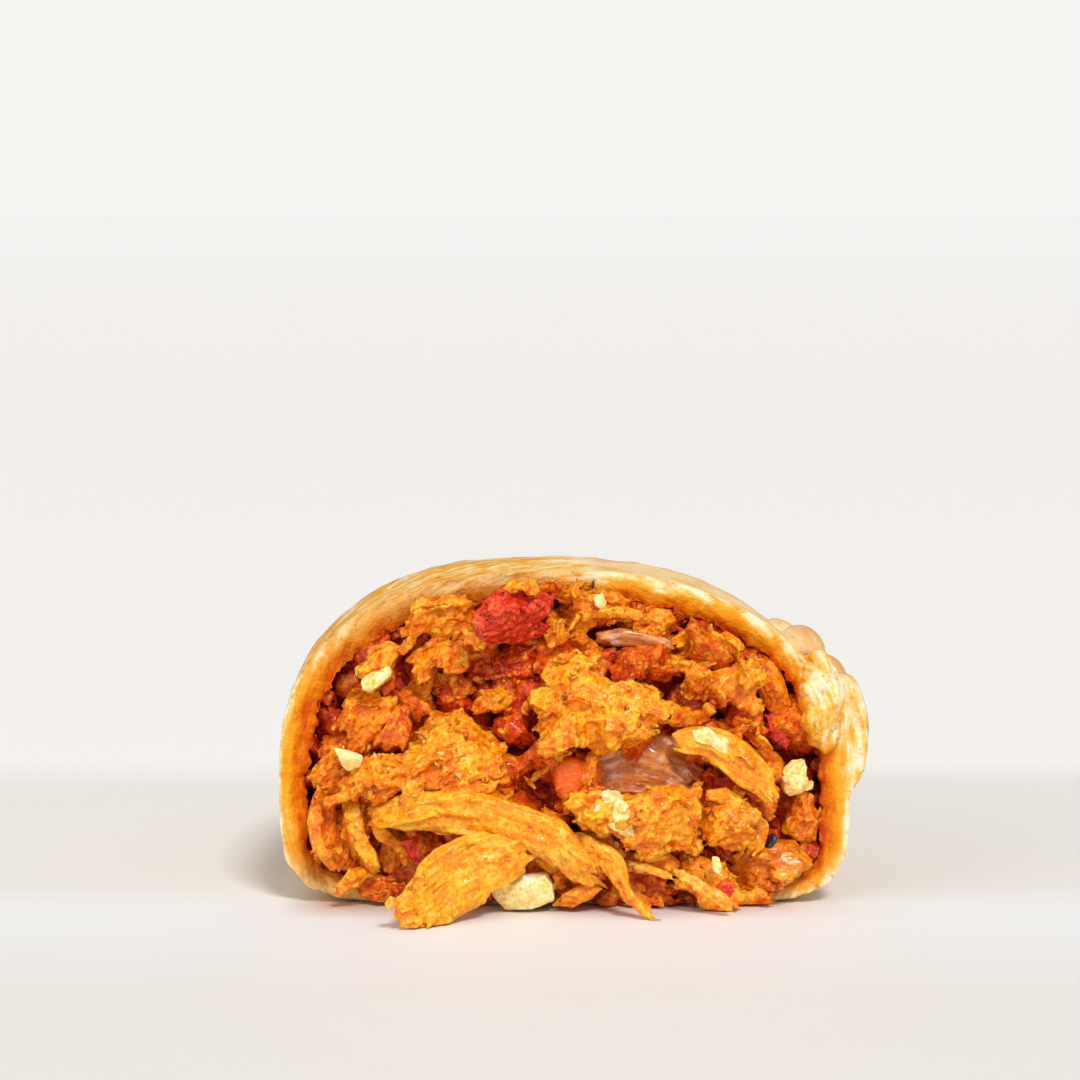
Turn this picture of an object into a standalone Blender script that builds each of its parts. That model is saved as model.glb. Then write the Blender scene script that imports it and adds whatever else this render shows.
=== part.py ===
"""Half of a baked chicken empanada, cut straight across and standing on its flat underside.

The cut face looks along -Y, the fold of the dough is on the -X side, the roped seam on the +X side,
and the half runs back along +Y to its pinched corner. Sizes are in metres, +Z is up.
"""

import math

import bmesh
import bpy
from mathutils import Matrix, Vector, noise

MM = 0.001

# The dough's section at the cut: a rounded loaf shape, each quarter a superellipse of its own.
LEFT_REACH = 31.2 * MM
RIGHT_REACH = 29.2 * MM
SHOULDER_Z = 13.0 * MM
CROWN = 22.3 * MM
BELLY = 13.6 * MM
TOP_LEFT_SQUARENESS = 2.6
TOP_RIGHT_SQUARENESS = 2.15
FOOT_SQUARENESS = 5.0

# The half as a whole.
LENGTH = 66.0 * MM
WALL = 2.8 * MM
TIP_X = -20.5 * MM
TIP_LIFT = 4.0 * MM
FLAT_SHARE = 0.5
INNER_SHARE = 0.85
SKIN_GAP = 0.45 * MM
PIECE_GAP = 0.4 * MM

# How finely the shells are faceted.
AROUND = 44
CRUST_ROWS = 13
LUMP_SIDES = 12

# The roped seam.
ROPE_KNUCKLES = 14
ROPE_START = 0.09
ROPE_END = 0.985
ROPE_PROUD = 0.4 * MM
KNUCKLE_LONG = 5.0 * MM
KNUCKLE_PROUD = 2.6 * MM
KNUCKLE_WIDE = 2.9 * MM
KNUCKLE_SLANT = math.radians(40)

# Distance of the cut from the middle of the whole part, so that the origin is under that middle.
CUT_Y = -25.9 * MM

DOUGH = ("dough", (0.80, 0.58, 0.33), 0.62)
SAUCE = ("filling", (0.62, 0.20, 0.03), 0.45)
CHICKEN = ("chicken", (0.83, 0.36, 0.06), 0.42)
TOMATO = ("tomato", (0.66, 0.06, 0.02), 0.28)
ONION = ("onion", (0.42, 0.19, 0.08), 0.25)
EGG = ("egg", (0.90, 0.78, 0.45), 0.38)


def clear_scene():
    for old in list(bpy.data.objects):
        bpy.data.objects.remove(old, do_unlink=True)


def material(look):
    """A plain Principled finish, made once for each (name, colour, roughness)."""
    name, colour, roughness = look
    found = bpy.data.materials.get(name)
    if found:
        return found
    made = bpy.data.materials.new(name)
    made.use_nodes = True
    shader = made.node_tree.nodes["Principled BSDF"]
    shader.inputs["Base Color"].default_value = (*colour, 1.0)
    shader.inputs["Roughness"].default_value = roughness
    shader.inputs["Metallic"].default_value = 0.0
    return made


def finish(bm, name, look, helper=False):
    """Turns the bmesh into an object of that name, smooth shaded. A helper only cuts or joins."""
    bmesh.ops.recalc_face_normals(bm, faces=bm.faces)
    mesh = bpy.data.meshes.new(name)
    bm.to_mesh(mesh)
    bm.free()
    mesh.materials.append(material(look))
    mesh.shade_smooth()
    made = bpy.data.objects.new(name, mesh)
    bpy.context.scene.collection.objects.link(made)
    made.location.y = CUT_Y
    if helper:
        made.hide_render = True
        made.display_type = "WIRE"
    return made


def combine(target, helper, operation):
    """Adds an exact Boolean with the helper to the target."""
    modifier = target.modifiers.new(helper.name, "BOOLEAN")
    modifier.operation = operation
    modifier.solver = "EXACT"
    modifier.object = helper


def skin(bm, rings, first_pole, last_pole):
    """Closes a run of rings of equal count into a shell, with a pole point at either end."""
    rows = [[bm.verts.new(point) for point in ring] for ring in rings]
    count = len(rows[0])
    for near, far in zip(rows, rows[1:]):
        for i in range(count):
            j = (i + 1) % count
            bm.faces.new((near[i], near[j], far[j], far[i]))
    for row, pole in ((rows[0], first_pole), (rows[-1], last_pole)):
        centre = bm.verts.new(pole)
        for i in range(count):
            bm.faces.new((row[i], row[(i + 1) % count], centre))


def smooth_step(value):
    value = max(0.0, min(1.0, value))
    return value * value * (3.0 - 2.0 * value)


def outline(angle):
    """A point of the dough's outer section at the cut, as (x, z), seen from the section's shoulder height."""
    across, up = math.cos(angle), math.sin(angle)
    reach = RIGHT_REACH if across > 0 else LEFT_REACH
    height = CROWN if up > 0 else BELLY
    squareness = FOOT_SQUARENESS
    if up > 0:
        squareness = TOP_RIGHT_SQUARENESS if across > 0 else TOP_LEFT_SQUARENESS
    power = (abs(across) / reach) ** squareness + (abs(up) / height) ** squareness
    radius = power ** (-1.0 / squareness)
    return radius * across, max(0.0, SHOULDER_Z + radius * up)


def even_angles():
    """Angles that lie evenly spaced along the section's outline."""
    steps = 720
    fine = [math.tau * i / steps for i in range(steps + 1)]
    places = [Vector(outline(angle)) for angle in fine]
    travelled = [0.0]
    for near, far in zip(places, places[1:]):
        travelled.append(travelled[-1] + (far - near).length)
    wanted = [travelled[-1] * i / AROUND for i in range(AROUND)]
    return [next(angle for angle, far in zip(fine, travelled) if far >= want - 1e-9) for want in wanted]


ANGLES = even_angles()


def sides(share):
    """The x of the fold side and of the seam side at a share of the length back from the cut."""
    left = -LEFT_REACH + (TIP_X + LEFT_REACH) * share**3
    right = TIP_X + (RIGHT_REACH - TIP_X) * (1.0 - share**1.75) ** 0.62
    return left, max(right, left)


def ring_centre(ring):
    return sum(ring, Vector()) / len(ring)


def section_point(angle, share):
    """A point of the outer dough surface at that angle and share of the length."""
    x, z = outline(angle)
    left, right = sides(share)
    across = (x + LEFT_REACH) / (LEFT_REACH + RIGHT_REACH)
    swell = 0.035 * math.sin(math.pi * min(1.0, share / 0.5))
    height = (1.0 - share**2.1) ** 0.53 * (1.0 + swell)
    lift = TIP_LIFT * max(0.0, (share - FLAT_SHARE) / (1.0 - FLAT_SHARE)) ** 2
    return Vector((left + across * (right - left), share * LENGTH, z * height + lift))


def section(share, inset):
    """A ring of the dough at that share of the length, moved inwards in its own plane, less so below.

    Near the cut each point moves square to the outline. Further back the ring shrinks towards its middle.
    """
    ring = [section_point(angle, share) for angle in ANGLES]
    if not inset:
        return ring
    middle = ring_centre(ring)
    half_width = max(abs(point.x - middle.x) for point in ring)
    half_height = max(abs(point.z - middle.z) for point in ring)
    shrinking = smooth_step(share / 0.55)
    moved = []
    for i, point in enumerate(ring):
        along = ring[(i + 1) % AROUND] - ring[i - 1]
        square = Vector((-along.z, 0.0, along.x)).normalized()
        shrink = Vector(((middle.x - point.x) / half_width, 0.0, (middle.z - point.z) / half_height))
        inward = square.lerp(shrink, shrinking)
        moved.append(point + inward * inset * (1.0 - 0.2 * max(0.0, inward.z)))
    return moved


def row_shares(last):
    """Shares of the length for the rows of a shell, closer together towards its far end."""
    return [last * math.sin(0.5 * math.pi * i / CRUST_ROWS) for i in range(CRUST_ROWS)]


def lining(share, gap=0.0):
    """A ring of the dough's inner surface, or inside it by the gap. The inset grows as the dough slopes in."""
    return section(share, (WALL + gap) * (1.0 + 0.7 * share**2))


def crust_shell():
    """The dough: an outer shell and an inner one, joined by the flat ring of the cut."""
    bm = bmesh.new()
    outer = [section(share, 0.0) for share in row_shares(1.0)]
    inner = [lining(share) for share in row_shares(INNER_SHARE)]
    tip = Vector((TIP_X, LENGTH, TIP_LIFT))
    cavity_end = ring_centre(lining(INNER_SHARE))
    skin(bm, inner[::-1] + outer, cavity_end, tip)
    return finish(bm, "crust", DOUGH)


def rope_angle(share):
    """Where the seam sits round the section: on the side at the cut, then on the shoulder."""
    return math.radians(16 + 10 * smooth_step(share / 0.22) - 15 * smooth_step((share - 0.35) / 0.65))


def rope_point(share):
    """The seam's middle line and the outward direction there."""
    angle = rope_angle(share)
    around = section_point(angle + 0.01, share) - section_point(angle - 0.01, share)
    back = section_point(angle, share + 0.002) - section_point(angle, share - 0.002)
    outward = back.cross(around).normalized()
    return section_point(angle, share) + outward * ROPE_PROUD, outward


def evenly_along(count):
    """Shares of the length that lie evenly along the seam."""
    steps = 200
    shares = [ROPE_START + (ROPE_END - ROPE_START) * i / steps for i in range(steps + 1)]
    points = [rope_point(share)[0] for share in shares]
    travelled = [0.0]
    for near, far in zip(points, points[1:]):
        travelled.append(travelled[-1] + (far - near).length)
    found = []
    for k in range(count):
        wanted = travelled[-1] * k / (count - 1)
        found.append(next(s for s, d in zip(shares, travelled) if d >= wanted - 1e-9))
    return found


def ellipsoid(name, centre, axes, radii, rings=8, segments=10):
    """A helper ellipsoid with its three axes along the given directions."""
    bm = bmesh.new()
    bmesh.ops.create_uvsphere(bm, u_segments=segments, v_segments=rings, radius=1.0)
    turn = Matrix(axes).transposed().to_4x4()
    stretch = Matrix.Diagonal((*radii, 1.0))
    bm.transform(Matrix.Translation(centre) @ turn @ stretch)
    return finish(bm, name, DOUGH, helper=True)


def rope_knuckles():
    """The overlapping folds of the seam, each lying slantwise across its line."""
    made = []
    for k, share in enumerate(evenly_along(ROPE_KNUCKLES)):
        point, outward = rope_point(share)
        ahead = rope_point(min(share + 0.01, 1.0))[0]
        behind = rope_point(share - 0.01)[0]
        along = (ahead - behind).normalized()
        along = (along - outward * along.dot(outward)).normalized()
        along.rotate(Matrix.Rotation(-KNUCKLE_SLANT, 3, outward))
        upward = outward.cross(along)
        size = 1.0 - 0.2 * smooth_step((share - 0.6) / 0.4)
        size *= 1.0 + 0.07 * math.sin(2.4 * k)
        radii = (KNUCKLE_LONG * size, KNUCKLE_PROUD * size, KNUCKLE_WIDE * size)
        made.append(ellipsoid(f"knuckle_{k}", point, (along, outward, upward), radii))
    return made


def leaning(lean):
    """Three axes that are upright but for a lean towards -X."""
    return Vector((1, 0, lean)).normalized(), Vector((0, 1, 0)), Vector((-lean, 0, 1)).normalized()


def cut_lip():
    """The lower sheet's edge, which stands off the side of the half where the seam was cut."""
    return ellipsoid("cut_lip", Vector((28.9, 1.5, 18.4)) * MM, leaning(0.06), (2.3 * MM, 5.5 * MM, 6.2 * MM))


def cut_lump():
    """The fold of dough that the cut left hanging at the seam, in front of the cut."""
    return ellipsoid("cut_lump", Vector((26.0, -0.9, 21.7)) * MM, leaning(0.08), (2.6 * MM, 2.5 * MM, 5.7 * MM))


def knife():
    """What the knife took away: all that stands in front of the cut."""
    bm = bmesh.new()
    bmesh.ops.create_cube(bm, size=1.0)
    block = Vector((90.0, 20.0, 60.0)) * MM
    bm.transform(Matrix.Translation((0.0, -0.5 * block.y, 0.3 * block.z)) @ Matrix.Diagonal((*block, 1.0)))
    return finish(bm, "knife", DOUGH, helper=True)


def build_crust():
    crust = crust_shell()
    for knuckle in rope_knuckles():
        combine(crust, knuckle, "UNION")
    combine(crust, cut_lip(), "UNION")
    combine(crust, knife(), "DIFFERENCE")
    combine(crust, cut_lump(), "UNION")
    return crust


def face_relief(x, z):
    """How far behind the cut the filling's face lies: it is heaped, most of all low in the middle."""
    mound = max(0.0, 1.0 - (x / (27.0 * MM)) ** 2 - ((z - 16.5 * MM) / (15.5 * MM)) ** 2) ** 0.7
    spill = math.exp(-(((x + 2.0 * MM) / (14.0 * MM)) ** 2) - ((z - 6.0 * MM) / (6.0 * MM)) ** 2)
    uneven = noise.noise(Vector((x, 0.0, z)) / (6.0 * MM))
    return 1.6 * MM - 4.6 * MM * mound - 3.4 * MM * spill + 1.1 * MM * uneven


def build_filling():
    """The chicken mix that runs through the dough, out to its uneven face."""
    bm = bmesh.new()
    edge = lining(0.03, SKIN_GAP)
    middle = ring_centre(edge)
    face = []
    for spread in (0.2, 0.4, 0.6, 0.78, 0.92):
        ring = [middle.lerp(point, spread) for point in edge]
        face.append([Vector((p.x, face_relief(p.x, p.z), p.z)) for p in ring])
    shares = row_shares(INNER_SHARE)
    shares[-1] -= 0.016
    body = [edge] + [lining(share, SKIN_GAP) for share in shares[2:]]
    pole = Vector((middle.x, face_relief(middle.x, middle.z), middle.z))
    skin(bm, face + body, pole, ring_centre(body[-1]))
    return finish(bm, "filling", SAUCE)


def lump_mesh(centre, size, tilt, seed, squareness, grow):
    """A torn lump: a rounded block with an uneven surface, wider than tall, tilted in the cut's plane."""
    bm = bmesh.new()
    bmesh.ops.create_uvsphere(bm, u_segments=LUMP_SIDES, v_segments=LUMP_SIDES - 4, radius=1.0)
    half = [0.5 * s * MM + grow for s in size]
    for vert in bm.verts:
        way = vert.co.normalized()
        blocky = sum(abs(c) ** squareness for c in way) ** (-1.0 / squareness)
        uneven = 1.0 + 0.13 * noise.noise(way * 1.7 + Vector((seed * 7.3, seed, 0.0)))
        vert.co = Vector([c * h for c, h in zip(way * blocky * uneven, half)])
    turn = Matrix.Rotation(-math.radians(tilt), 4, "Y")
    bm.transform(Matrix.Translation(Vector(centre) * MM) @ turn)
    return bm


def along_curve(points, share):
    """A point of the smooth curve through the points, by Catmull-Rom."""
    spans = len(points) - 1
    place = min(share * spans, spans - 1e-9)
    i = int(place)
    t = place - i
    p1, p2 = points[i], points[i + 1]
    p0 = points[i - 1] if i else p1 * 2 - p2
    p3 = points[i + 2] if i + 2 < len(points) else p2 * 2 - p1
    return 0.5 * (
        p1 * 2 + (p2 - p0) * t + (p0 * 2 - p1 * 5 + p2 * 4 - p3) * t * t
        + (p1 * 3 - p0 - p2 * 3 + p3) * t**3
    )


def strip_mesh(route, widths, thickness, grow, rows=9, segments=8):
    """A torn strip of meat: a flat oval that follows the route, as wide as the widths say."""
    bm = bmesh.new()
    points = [Vector(point) * MM for point in route]
    wide = [Vector((width * MM, 0.0, 0.0)) for width in widths]
    rings = []
    for row in range(rows):
        share = row / (rows - 1)
        centre = along_curve(points, share)
        step = along_curve(points, min(1.0, share + 0.02)) - along_curve(points, max(0.0, share - 0.02))
        step.normalize()
        centre += step * grow * (2.0 * share - 1.0)
        across = step.cross(Vector((0.0, 1.0, 0.0))).normalized()
        through = across.cross(step)
        half_width = 0.5 * along_curve(wide, share).x + grow
        half_depth = 0.5 * thickness * MM + grow
        ring = []
        for i in range(segments):
            angle = math.tau * i / segments
            ring.append(centre + across * half_width * math.cos(angle) + through * half_depth * math.sin(angle))
        rings.append(ring)
    skin(bm, rings, ring_centre(rings[0]), ring_centre(rings[-1]))
    return bm


# Each lump as (name, look, middle x y z, size x y z, tilt in degrees, seed, squareness), in mm from the
# middle of the cut's foot.
LUMPS = (
    ("tomato_chunk", TOMATO, (-6.0, -3.5, 30.3), (9.0, 6.0, 7.0), 14, 1, 2.6),
    ("onion_slice", ONION, (7.4, -0.6, 14.6), (13.0, 5.6, 6.2), 3, 2, 2.2),
    ("egg_front", EGG, (-5.3, -4.4, 2.3), (6.2, 4.0, 3.9), -4, 3, 4.5),
    ("egg_right", EGG, (22.6, -1.2, 13.4), (3.2, 3.4, 5.6), 8, 4, 3.2),
    ("chicken_centre", CHICKEN, (2.9, -4.2, 21.3), (15.6, 6.2, 8.4), -3, 5, 2.5),
    ("chicken_left", CHICKEN, (-12.6, -2.7, 17.2), (12.4, 6.4, 10.4), 6, 6, 2.2),
    ("chicken_upper_left", CHICKEN, (-14.8, -0.6, 27.6), (6.6, 5.2, 5.4), 24, 7, 2.4),
    ("chicken_upper_right", CHICKEN, (16.4, -0.8, 23.2), (6.8, 5.6, 7.0), -12, 8, 2.3),
    ("chicken_mid_left", CHICKEN, (-21.6, 0.9, 19.8), (5.2, 5.0, 7.6), 24, 9, 2.3),
    ("chicken_low", CHICKEN, (5.9, -4.6, 8.9), (12.8, 6.4, 5.6), -8, 10, 2.3),
    ("chicken_low_right", CHICKEN, (16.5, -2.8, 8.7), (7.2, 5.6, 5.0), 10, 11, 2.4),
)

# Each strip as (name, route, width along it, thickness), in mm from the middle of the cut's foot.
STRIPS = (
    (
        "chicken_long_strip",
        ((-21.5, -3.8, 11.0), (-15.0, -6.3, 11.1), (-8.0, -7.0, 10.7), (-2.4, -7.4, 8.2), (1.0, -7.4, 4.8)),
        (2.6, 3.6, 3.8, 4.2, 2.8),
        3.0,
    ),
    (
        "chicken_flap",
        ((-5.0, -7.9, 5.7), (-10.4, -8.9, 5.8), (-14.6, -11.6, 3.5), (-17.4, -15.0, 1.2)),
        (3.0, 5.2, 4.8, 2.0),
        2.0,
    ),
    (
        "chicken_strand",
        ((4.2, -6.9, 5.4), (5.4, -7.6, 3.4), (7.0, -8.0, 1.0)),
        (2.2, 1.9, 1.4),
        1.5,
    ),
    (
        "chicken_right_strip",
        ((11.4, -5.0, 18.1), (15.2, -4.8, 16.6), (18.6, -4.4, 14.0), (20.0, -4.2, 12.2)),
        (2.8, 3.4, 3.2, 2.2),
        2.6,
    ),
)


def build_pieces(filling):
    """The pieces of the mix that are big enough to pick out, each sunk into a hollow of the filling."""
    for name, look, centre, size, tilt, seed, squareness in LUMPS:
        finish(lump_mesh(centre, size, tilt, seed, squareness, 0.0), name, look)
        hollow = lump_mesh(centre, size, tilt, seed, squareness, PIECE_GAP)
        combine(filling, finish(hollow, f"hollow_{name}", look, helper=True), "DIFFERENCE")
    for name, route, widths, thickness in STRIPS:
        finish(strip_mesh(route, widths, thickness, 0.0), name, CHICKEN)
        hollow = strip_mesh(route, widths, thickness, PIECE_GAP)
        combine(filling, finish(hollow, f"hollow_{name}", CHICKEN, helper=True), "DIFFERENCE")


def main():
    clear_scene()
    build_crust()
    build_pieces(build_filling())


main()
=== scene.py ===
"""The finish of half a baked chicken empanada: pale baked dough round a saucy, shredded filling.

Lengths are in metres unless a name says millimetres. Places on the cut face are given in millimetres as
(x, y, z): x to the right and z up from the middle of the cut's foot, y back from the cut into the half.
"""

import functools
import math
import random

import bpy
import numpy as np
from mathutils import Matrix, Vector, noise
from mathutils.bvhtree import BVHTree


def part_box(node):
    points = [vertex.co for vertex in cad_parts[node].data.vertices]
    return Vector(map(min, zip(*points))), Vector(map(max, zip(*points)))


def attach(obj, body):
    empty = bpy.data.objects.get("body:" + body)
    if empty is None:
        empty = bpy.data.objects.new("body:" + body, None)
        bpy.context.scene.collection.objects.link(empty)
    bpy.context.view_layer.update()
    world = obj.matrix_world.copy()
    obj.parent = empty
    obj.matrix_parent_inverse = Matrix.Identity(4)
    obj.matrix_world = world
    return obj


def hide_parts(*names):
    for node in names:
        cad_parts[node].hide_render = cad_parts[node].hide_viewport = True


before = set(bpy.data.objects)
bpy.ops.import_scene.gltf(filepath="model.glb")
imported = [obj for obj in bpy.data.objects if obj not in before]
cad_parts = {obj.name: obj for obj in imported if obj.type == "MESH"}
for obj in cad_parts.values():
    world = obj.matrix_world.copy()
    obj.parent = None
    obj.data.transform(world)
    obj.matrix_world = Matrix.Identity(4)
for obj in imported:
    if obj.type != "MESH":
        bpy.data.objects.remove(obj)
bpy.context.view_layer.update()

bl_info = {
    "name": "Empanada Half Finish",
    "version": (1, 0, 0),
    "blender": (4, 5, 0),
    "location": "3D View > Sidebar > Empanada",
    "description": "Builds the crust, the shredded filling and the studio of a cut chicken empanada",
    "category": "Object",
}

MM = 0.001
INTO = Vector((0.0, 1.0, 0.0))  # the way into the half, square to the cut
SOFTNESS = 0.38  # how much light spreads under the skin of the meat


# ---------------------------------------------------------------------------------------------
# The frame: where the cut, the dough's inner wall and the filling's face are


def node_tree(node):
    """A ray-casting tree of a CAD node."""
    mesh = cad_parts[node].data
    points = [vertex.co.copy() for vertex in mesh.vertices]
    faces = [tuple(polygon.vertices) for polygon in mesh.polygons]
    return BVHTree.FromPolygons(points, faces)


def cut_plane():
    """The y of the flat ring that the cut left on the dough, where most of the crust's corners lie."""
    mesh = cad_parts["crust"].data
    depths = np.array([round(vertex.co.y, 5) for vertex in mesh.vertices])
    values, counts = np.unique(depths, return_counts=True)
    return float(values[counts.argmax()])


CUT_Y = cut_plane()
BEFORE_CUT = CUT_Y - 40.0 * MM  # clear of all that hangs out of the cut, so rays at the cut start there
HEART = Vector((0.0, CUT_Y, 13.0 * MM))  # the middle of the section, which bearings are taken round
CRUST_TREE = node_tree("crust")
FILLING_TREE = node_tree("filling")
BEARINGS = np.linspace(-math.pi, math.pi, 145)  # every two and a half degrees


def wall_reach(beyond=0.0):
    """How far the dough's inner wall lies from the heart of the section, for each bearing round it.

    It is measured a millimetre behind the cut. With a start beyond the dough, the rays run inwards and find
    its outside.
    """
    reaches = []
    for bearing in BEARINGS:
        way = Vector((math.cos(bearing), 0.0, math.sin(bearing)))
        start = HEART + INTO * MM + way * beyond
        distance = CRUST_TREE.ray_cast(start, -way if beyond else way)[3]
        reaches.append(abs(beyond - distance))
    return np.array(reaches)


INNER_REACH = wall_reach()
OUTER_REACH = wall_reach(60.0 * MM)
THICKEST_WALL = 3.0 * MM  # what the rope of the seam adds beyond this counts as outside
EDGE_DEPTH = 4.0 * MM  # how far behind the cut the dough's edge is torn


def polar(points):
    """The bearing and the reach of points round the heart of the section, and their depth behind the cut."""
    away_x, away_z = points[:, 0] - HEART.x, points[:, 2] - HEART.z
    return np.arctan2(away_z, away_x), np.hypot(away_x, away_z) + 1e-12, points[:, 1] - CUT_Y


def ring_share(bearing, reach):
    """Where a point lies in the dough's ring, from 0 at its outside to 1 at the filling."""
    inner = np.interp(bearing, BEARINGS, INNER_REACH)
    wall = np.minimum(np.interp(bearing, BEARINGS, OUTER_REACH) - inner, THICKEST_WALL)
    return np.clip(1.0 - (reach - inner) / wall, 0.0, 1.0)


# Round the dough's ring, by bearing in degrees from the right, anticlockwise: how far its inner edge is drawn
# outwards in millimetres, how much further the sauce has soaked in, and how raw and grey the dough looks, which at the
# upper left is painted shadow.
RING = (
    (-180, -0.4, 0.3, 0.0), (-168, -0.2, 0.1, 0.3), (-160, 0.1, -0.05, 0.9), (-130, 0.4, 0.0, 0.9),
    (-90, 0.4, 0.2, 0.5), (-50, 0.4, 0.2, 0.6), (-27, 0.3, 0.1, 0.4), (-10, -0.2, 0.1, 0.1), (10, -0.2, 0.1, 0.0),
    (35, 0.0, 0.0, 0.0), (60, -0.3, 0.0, 0.0), (80, -0.2, -0.05, 0.1), (100, -0.2, 0.0, 0.8),
    (130, -0.6, -0.05, 1.0), (148, -0.7, 0.0, 0.7), (160, -0.5, 0.25, 0.1), (180, -0.4, 0.3, 0.0),
)


def edge_push(bearing, depth):
    """How far the torn inner edge is drawn outwards, at its own depth and behind it."""
    degrees, pushes, _, _ = np.array(RING).T
    fade = np.clip(1.0 - depth / EDGE_DEPTH, 0.0, 1.0) ** 2
    return fade * np.interp(np.degrees(bearing), degrees, pushes) * MM


def waves(bearing, seed, slowest, fastest, count=14):
    """An uneven wave round the ring, within about -1 and 1, made of several even ones of so many swings."""
    chance = random.Random(seed)
    total = np.zeros_like(bearing)
    for _ in range(count):
        swings = round(math.exp(chance.uniform(math.log(slowest), math.log(fastest))))
        total += np.sin(swings * bearing + chance.uniform(0.0, math.tau))
    return total / math.sqrt(count)


def face_front(x, z):
    """The y of the filling's face at a place on the cut, in metres."""
    hit = FILLING_TREE.ray_cast(Vector((x, BEFORE_CUT, z)), INTO)
    return hit[0].y if hit[0] else CUT_Y + 2.0 * MM


def place(x, y, z):
    """A place on the cut, given in millimetres, as a point of the frame."""
    return Vector((x * MM, CUT_Y + y * MM, z * MM))


def cad_depth(node):
    """How far behind the cut a CAD node starts, and how deep it is, in millimetres."""
    low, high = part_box(node)
    return (low.y - CUT_Y) / MM, (high.y - low.y) / MM


# ---------------------------------------------------------------------------------------------
# Making and finishing meshes


def only(target):
    """Selects one object and makes it the active one."""
    bpy.ops.object.select_all(action="DESELECT")
    target.select_set(True)
    bpy.context.view_layer.objects.active = target


def apply_all(target):
    """Applies every modifier, from the top of the stack down."""
    only(target)
    for modifier in list(target.modifiers):
        bpy.ops.object.modifier_apply(modifier=modifier.name)


def arrays(target):
    """The points and the triangles of an object's mesh."""
    mesh = target.data
    points = np.empty(len(mesh.vertices) * 3)
    mesh.vertices.foreach_get("co", points)
    mesh.calc_loop_triangles()
    corners = np.empty(len(mesh.loop_triangles) * 3, dtype=np.int64)
    mesh.loop_triangles.foreach_get("vertices", corners)
    return points.reshape(-1, 3), corners.reshape(-1, 3)


def from_arrays(name, points, triangles):
    """A smooth object of many triangles."""
    mesh = bpy.data.meshes.new(name)
    mesh.vertices.add(len(points))
    mesh.vertices.foreach_set("co", np.asarray(points, dtype=np.float32).ravel())
    mesh.loops.add(len(triangles) * 3)
    mesh.loops.foreach_set("vertex_index", np.asarray(triangles, dtype=np.int32).ravel())
    mesh.polygons.add(len(triangles))
    mesh.polygons.foreach_set("loop_start", np.arange(0, len(triangles) * 3, 3, dtype=np.int32))
    mesh.update(calc_edges=True)
    mesh.shade_smooth()
    made = bpy.data.objects.new(name, mesh)
    bpy.context.scene.collection.objects.link(made)
    return made


def write_value(target, name, values):
    """Stores a value for each point of the mesh, which a material reads by that name."""
    attribute = target.data.attributes.new(name, "FLOAT", "POINT")
    attribute.data.foreach_set("value", np.asarray(values, dtype=np.float32))


def write_vector(target, name, values):
    """Stores coordinates for each point of the mesh, which a material reads by that name."""
    attribute = target.data.attributes.new(name, "FLOAT_VECTOR", "POINT")
    attribute.data.foreach_set("vector", np.asarray(values, dtype=np.float32).ravel())


def discard(target):
    """Removes an object and its mesh."""
    mesh = target.data
    bpy.data.objects.remove(target, do_unlink=True)
    bpy.data.meshes.remove(mesh)


def remesh(target, voxel):
    """Fuses overlapping shells into one skin of even quads."""
    modifier = target.modifiers.new("fuse", "REMESH")
    modifier.mode = "VOXEL"
    modifier.voxel_size = voxel
    modifier.use_smooth_shade = True


def remeshed_copy(node, name, voxel):
    """A copy of a CAD node that is to be fused into one even skin."""
    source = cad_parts[node]
    made = source.copy()
    made.data = source.data.copy()
    made.name = name
    bpy.context.scene.collection.objects.link(made)
    only(made)
    weld = made.modifiers.new("weld", "WELD")
    weld.merge_threshold = 0.01 * MM
    remesh(made, voxel)
    return made


def clouds(target, grain, depth, detail=2, hard=False):
    """Pushes the skin in and out along its normals by cloudy noise, with sharp valleys when hard."""
    texture = bpy.data.textures.new(f"clouds_{grain / MM:.2f}", "CLOUDS")
    texture.noise_scale = grain
    texture.noise_depth = detail
    texture.noise_type = "HARD_NOISE" if hard else "SOFT_NOISE"
    texture.noise_basis = "IMPROVED_PERLIN" if hard else "BLENDER_ORIGINAL"
    displace(target, texture, depth)


def granules(target, grain, depth):
    """Raises rounded grains that are parted by sharp creases."""
    texture = bpy.data.textures.new(f"grains_{grain / MM:.2f}", "VORONOI")
    texture.noise_scale = grain
    displace(target, texture, -depth)


def displace(target, texture, depth):
    """Pushes the skin in and out along its normals by a texture, over that depth in all."""
    if not depth:
        return
    modifier = target.modifiers.new("roughen", "DISPLACE")
    modifier.texture = texture
    modifier.texture_coords = "LOCAL"
    modifier.strength = depth
    modifier.mid_level = 0.5


def soften(target, rounds):
    """Rounds off the skin a little."""
    modifier = target.modifiers.new("soften", "SMOOTH")
    modifier.iterations = rounds


def normals_of(target):
    """The normal at each point of an object's mesh."""
    values = np.empty(len(target.data.vertices) * 3)
    target.data.vertices.foreach_get("normal", values)
    return values.reshape(-1, 3)


def set_points(target, points):
    """Moves the points of an object's mesh."""
    target.data.vertices.foreach_set("co", np.asarray(points, dtype=np.float32).ravel())
    target.data.update()


# ---------------------------------------------------------------------------------------------
# Torn and crumbled food


class Bit:
    """A finished bit of food: its points, triangles, and how far each point stands out of its rough shape.

    Its flow is coordinates that are drawn out along the grain.
    """

    def __init__(self, target, smooth_points, smooth_normals, flow):
        self.points, self.triangles = arrays(target)
        self.relief = ((self.points - smooth_points) * smooth_normals).sum(1) / MM
        self.flow = flow
        discard(target)

    def laid(self, spot, rotation, size):
        """The bit's points when it is scaled, turned and moved to a spot."""
        return self.points * size @ np.array(rotation).T + np.array(spot)


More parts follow.
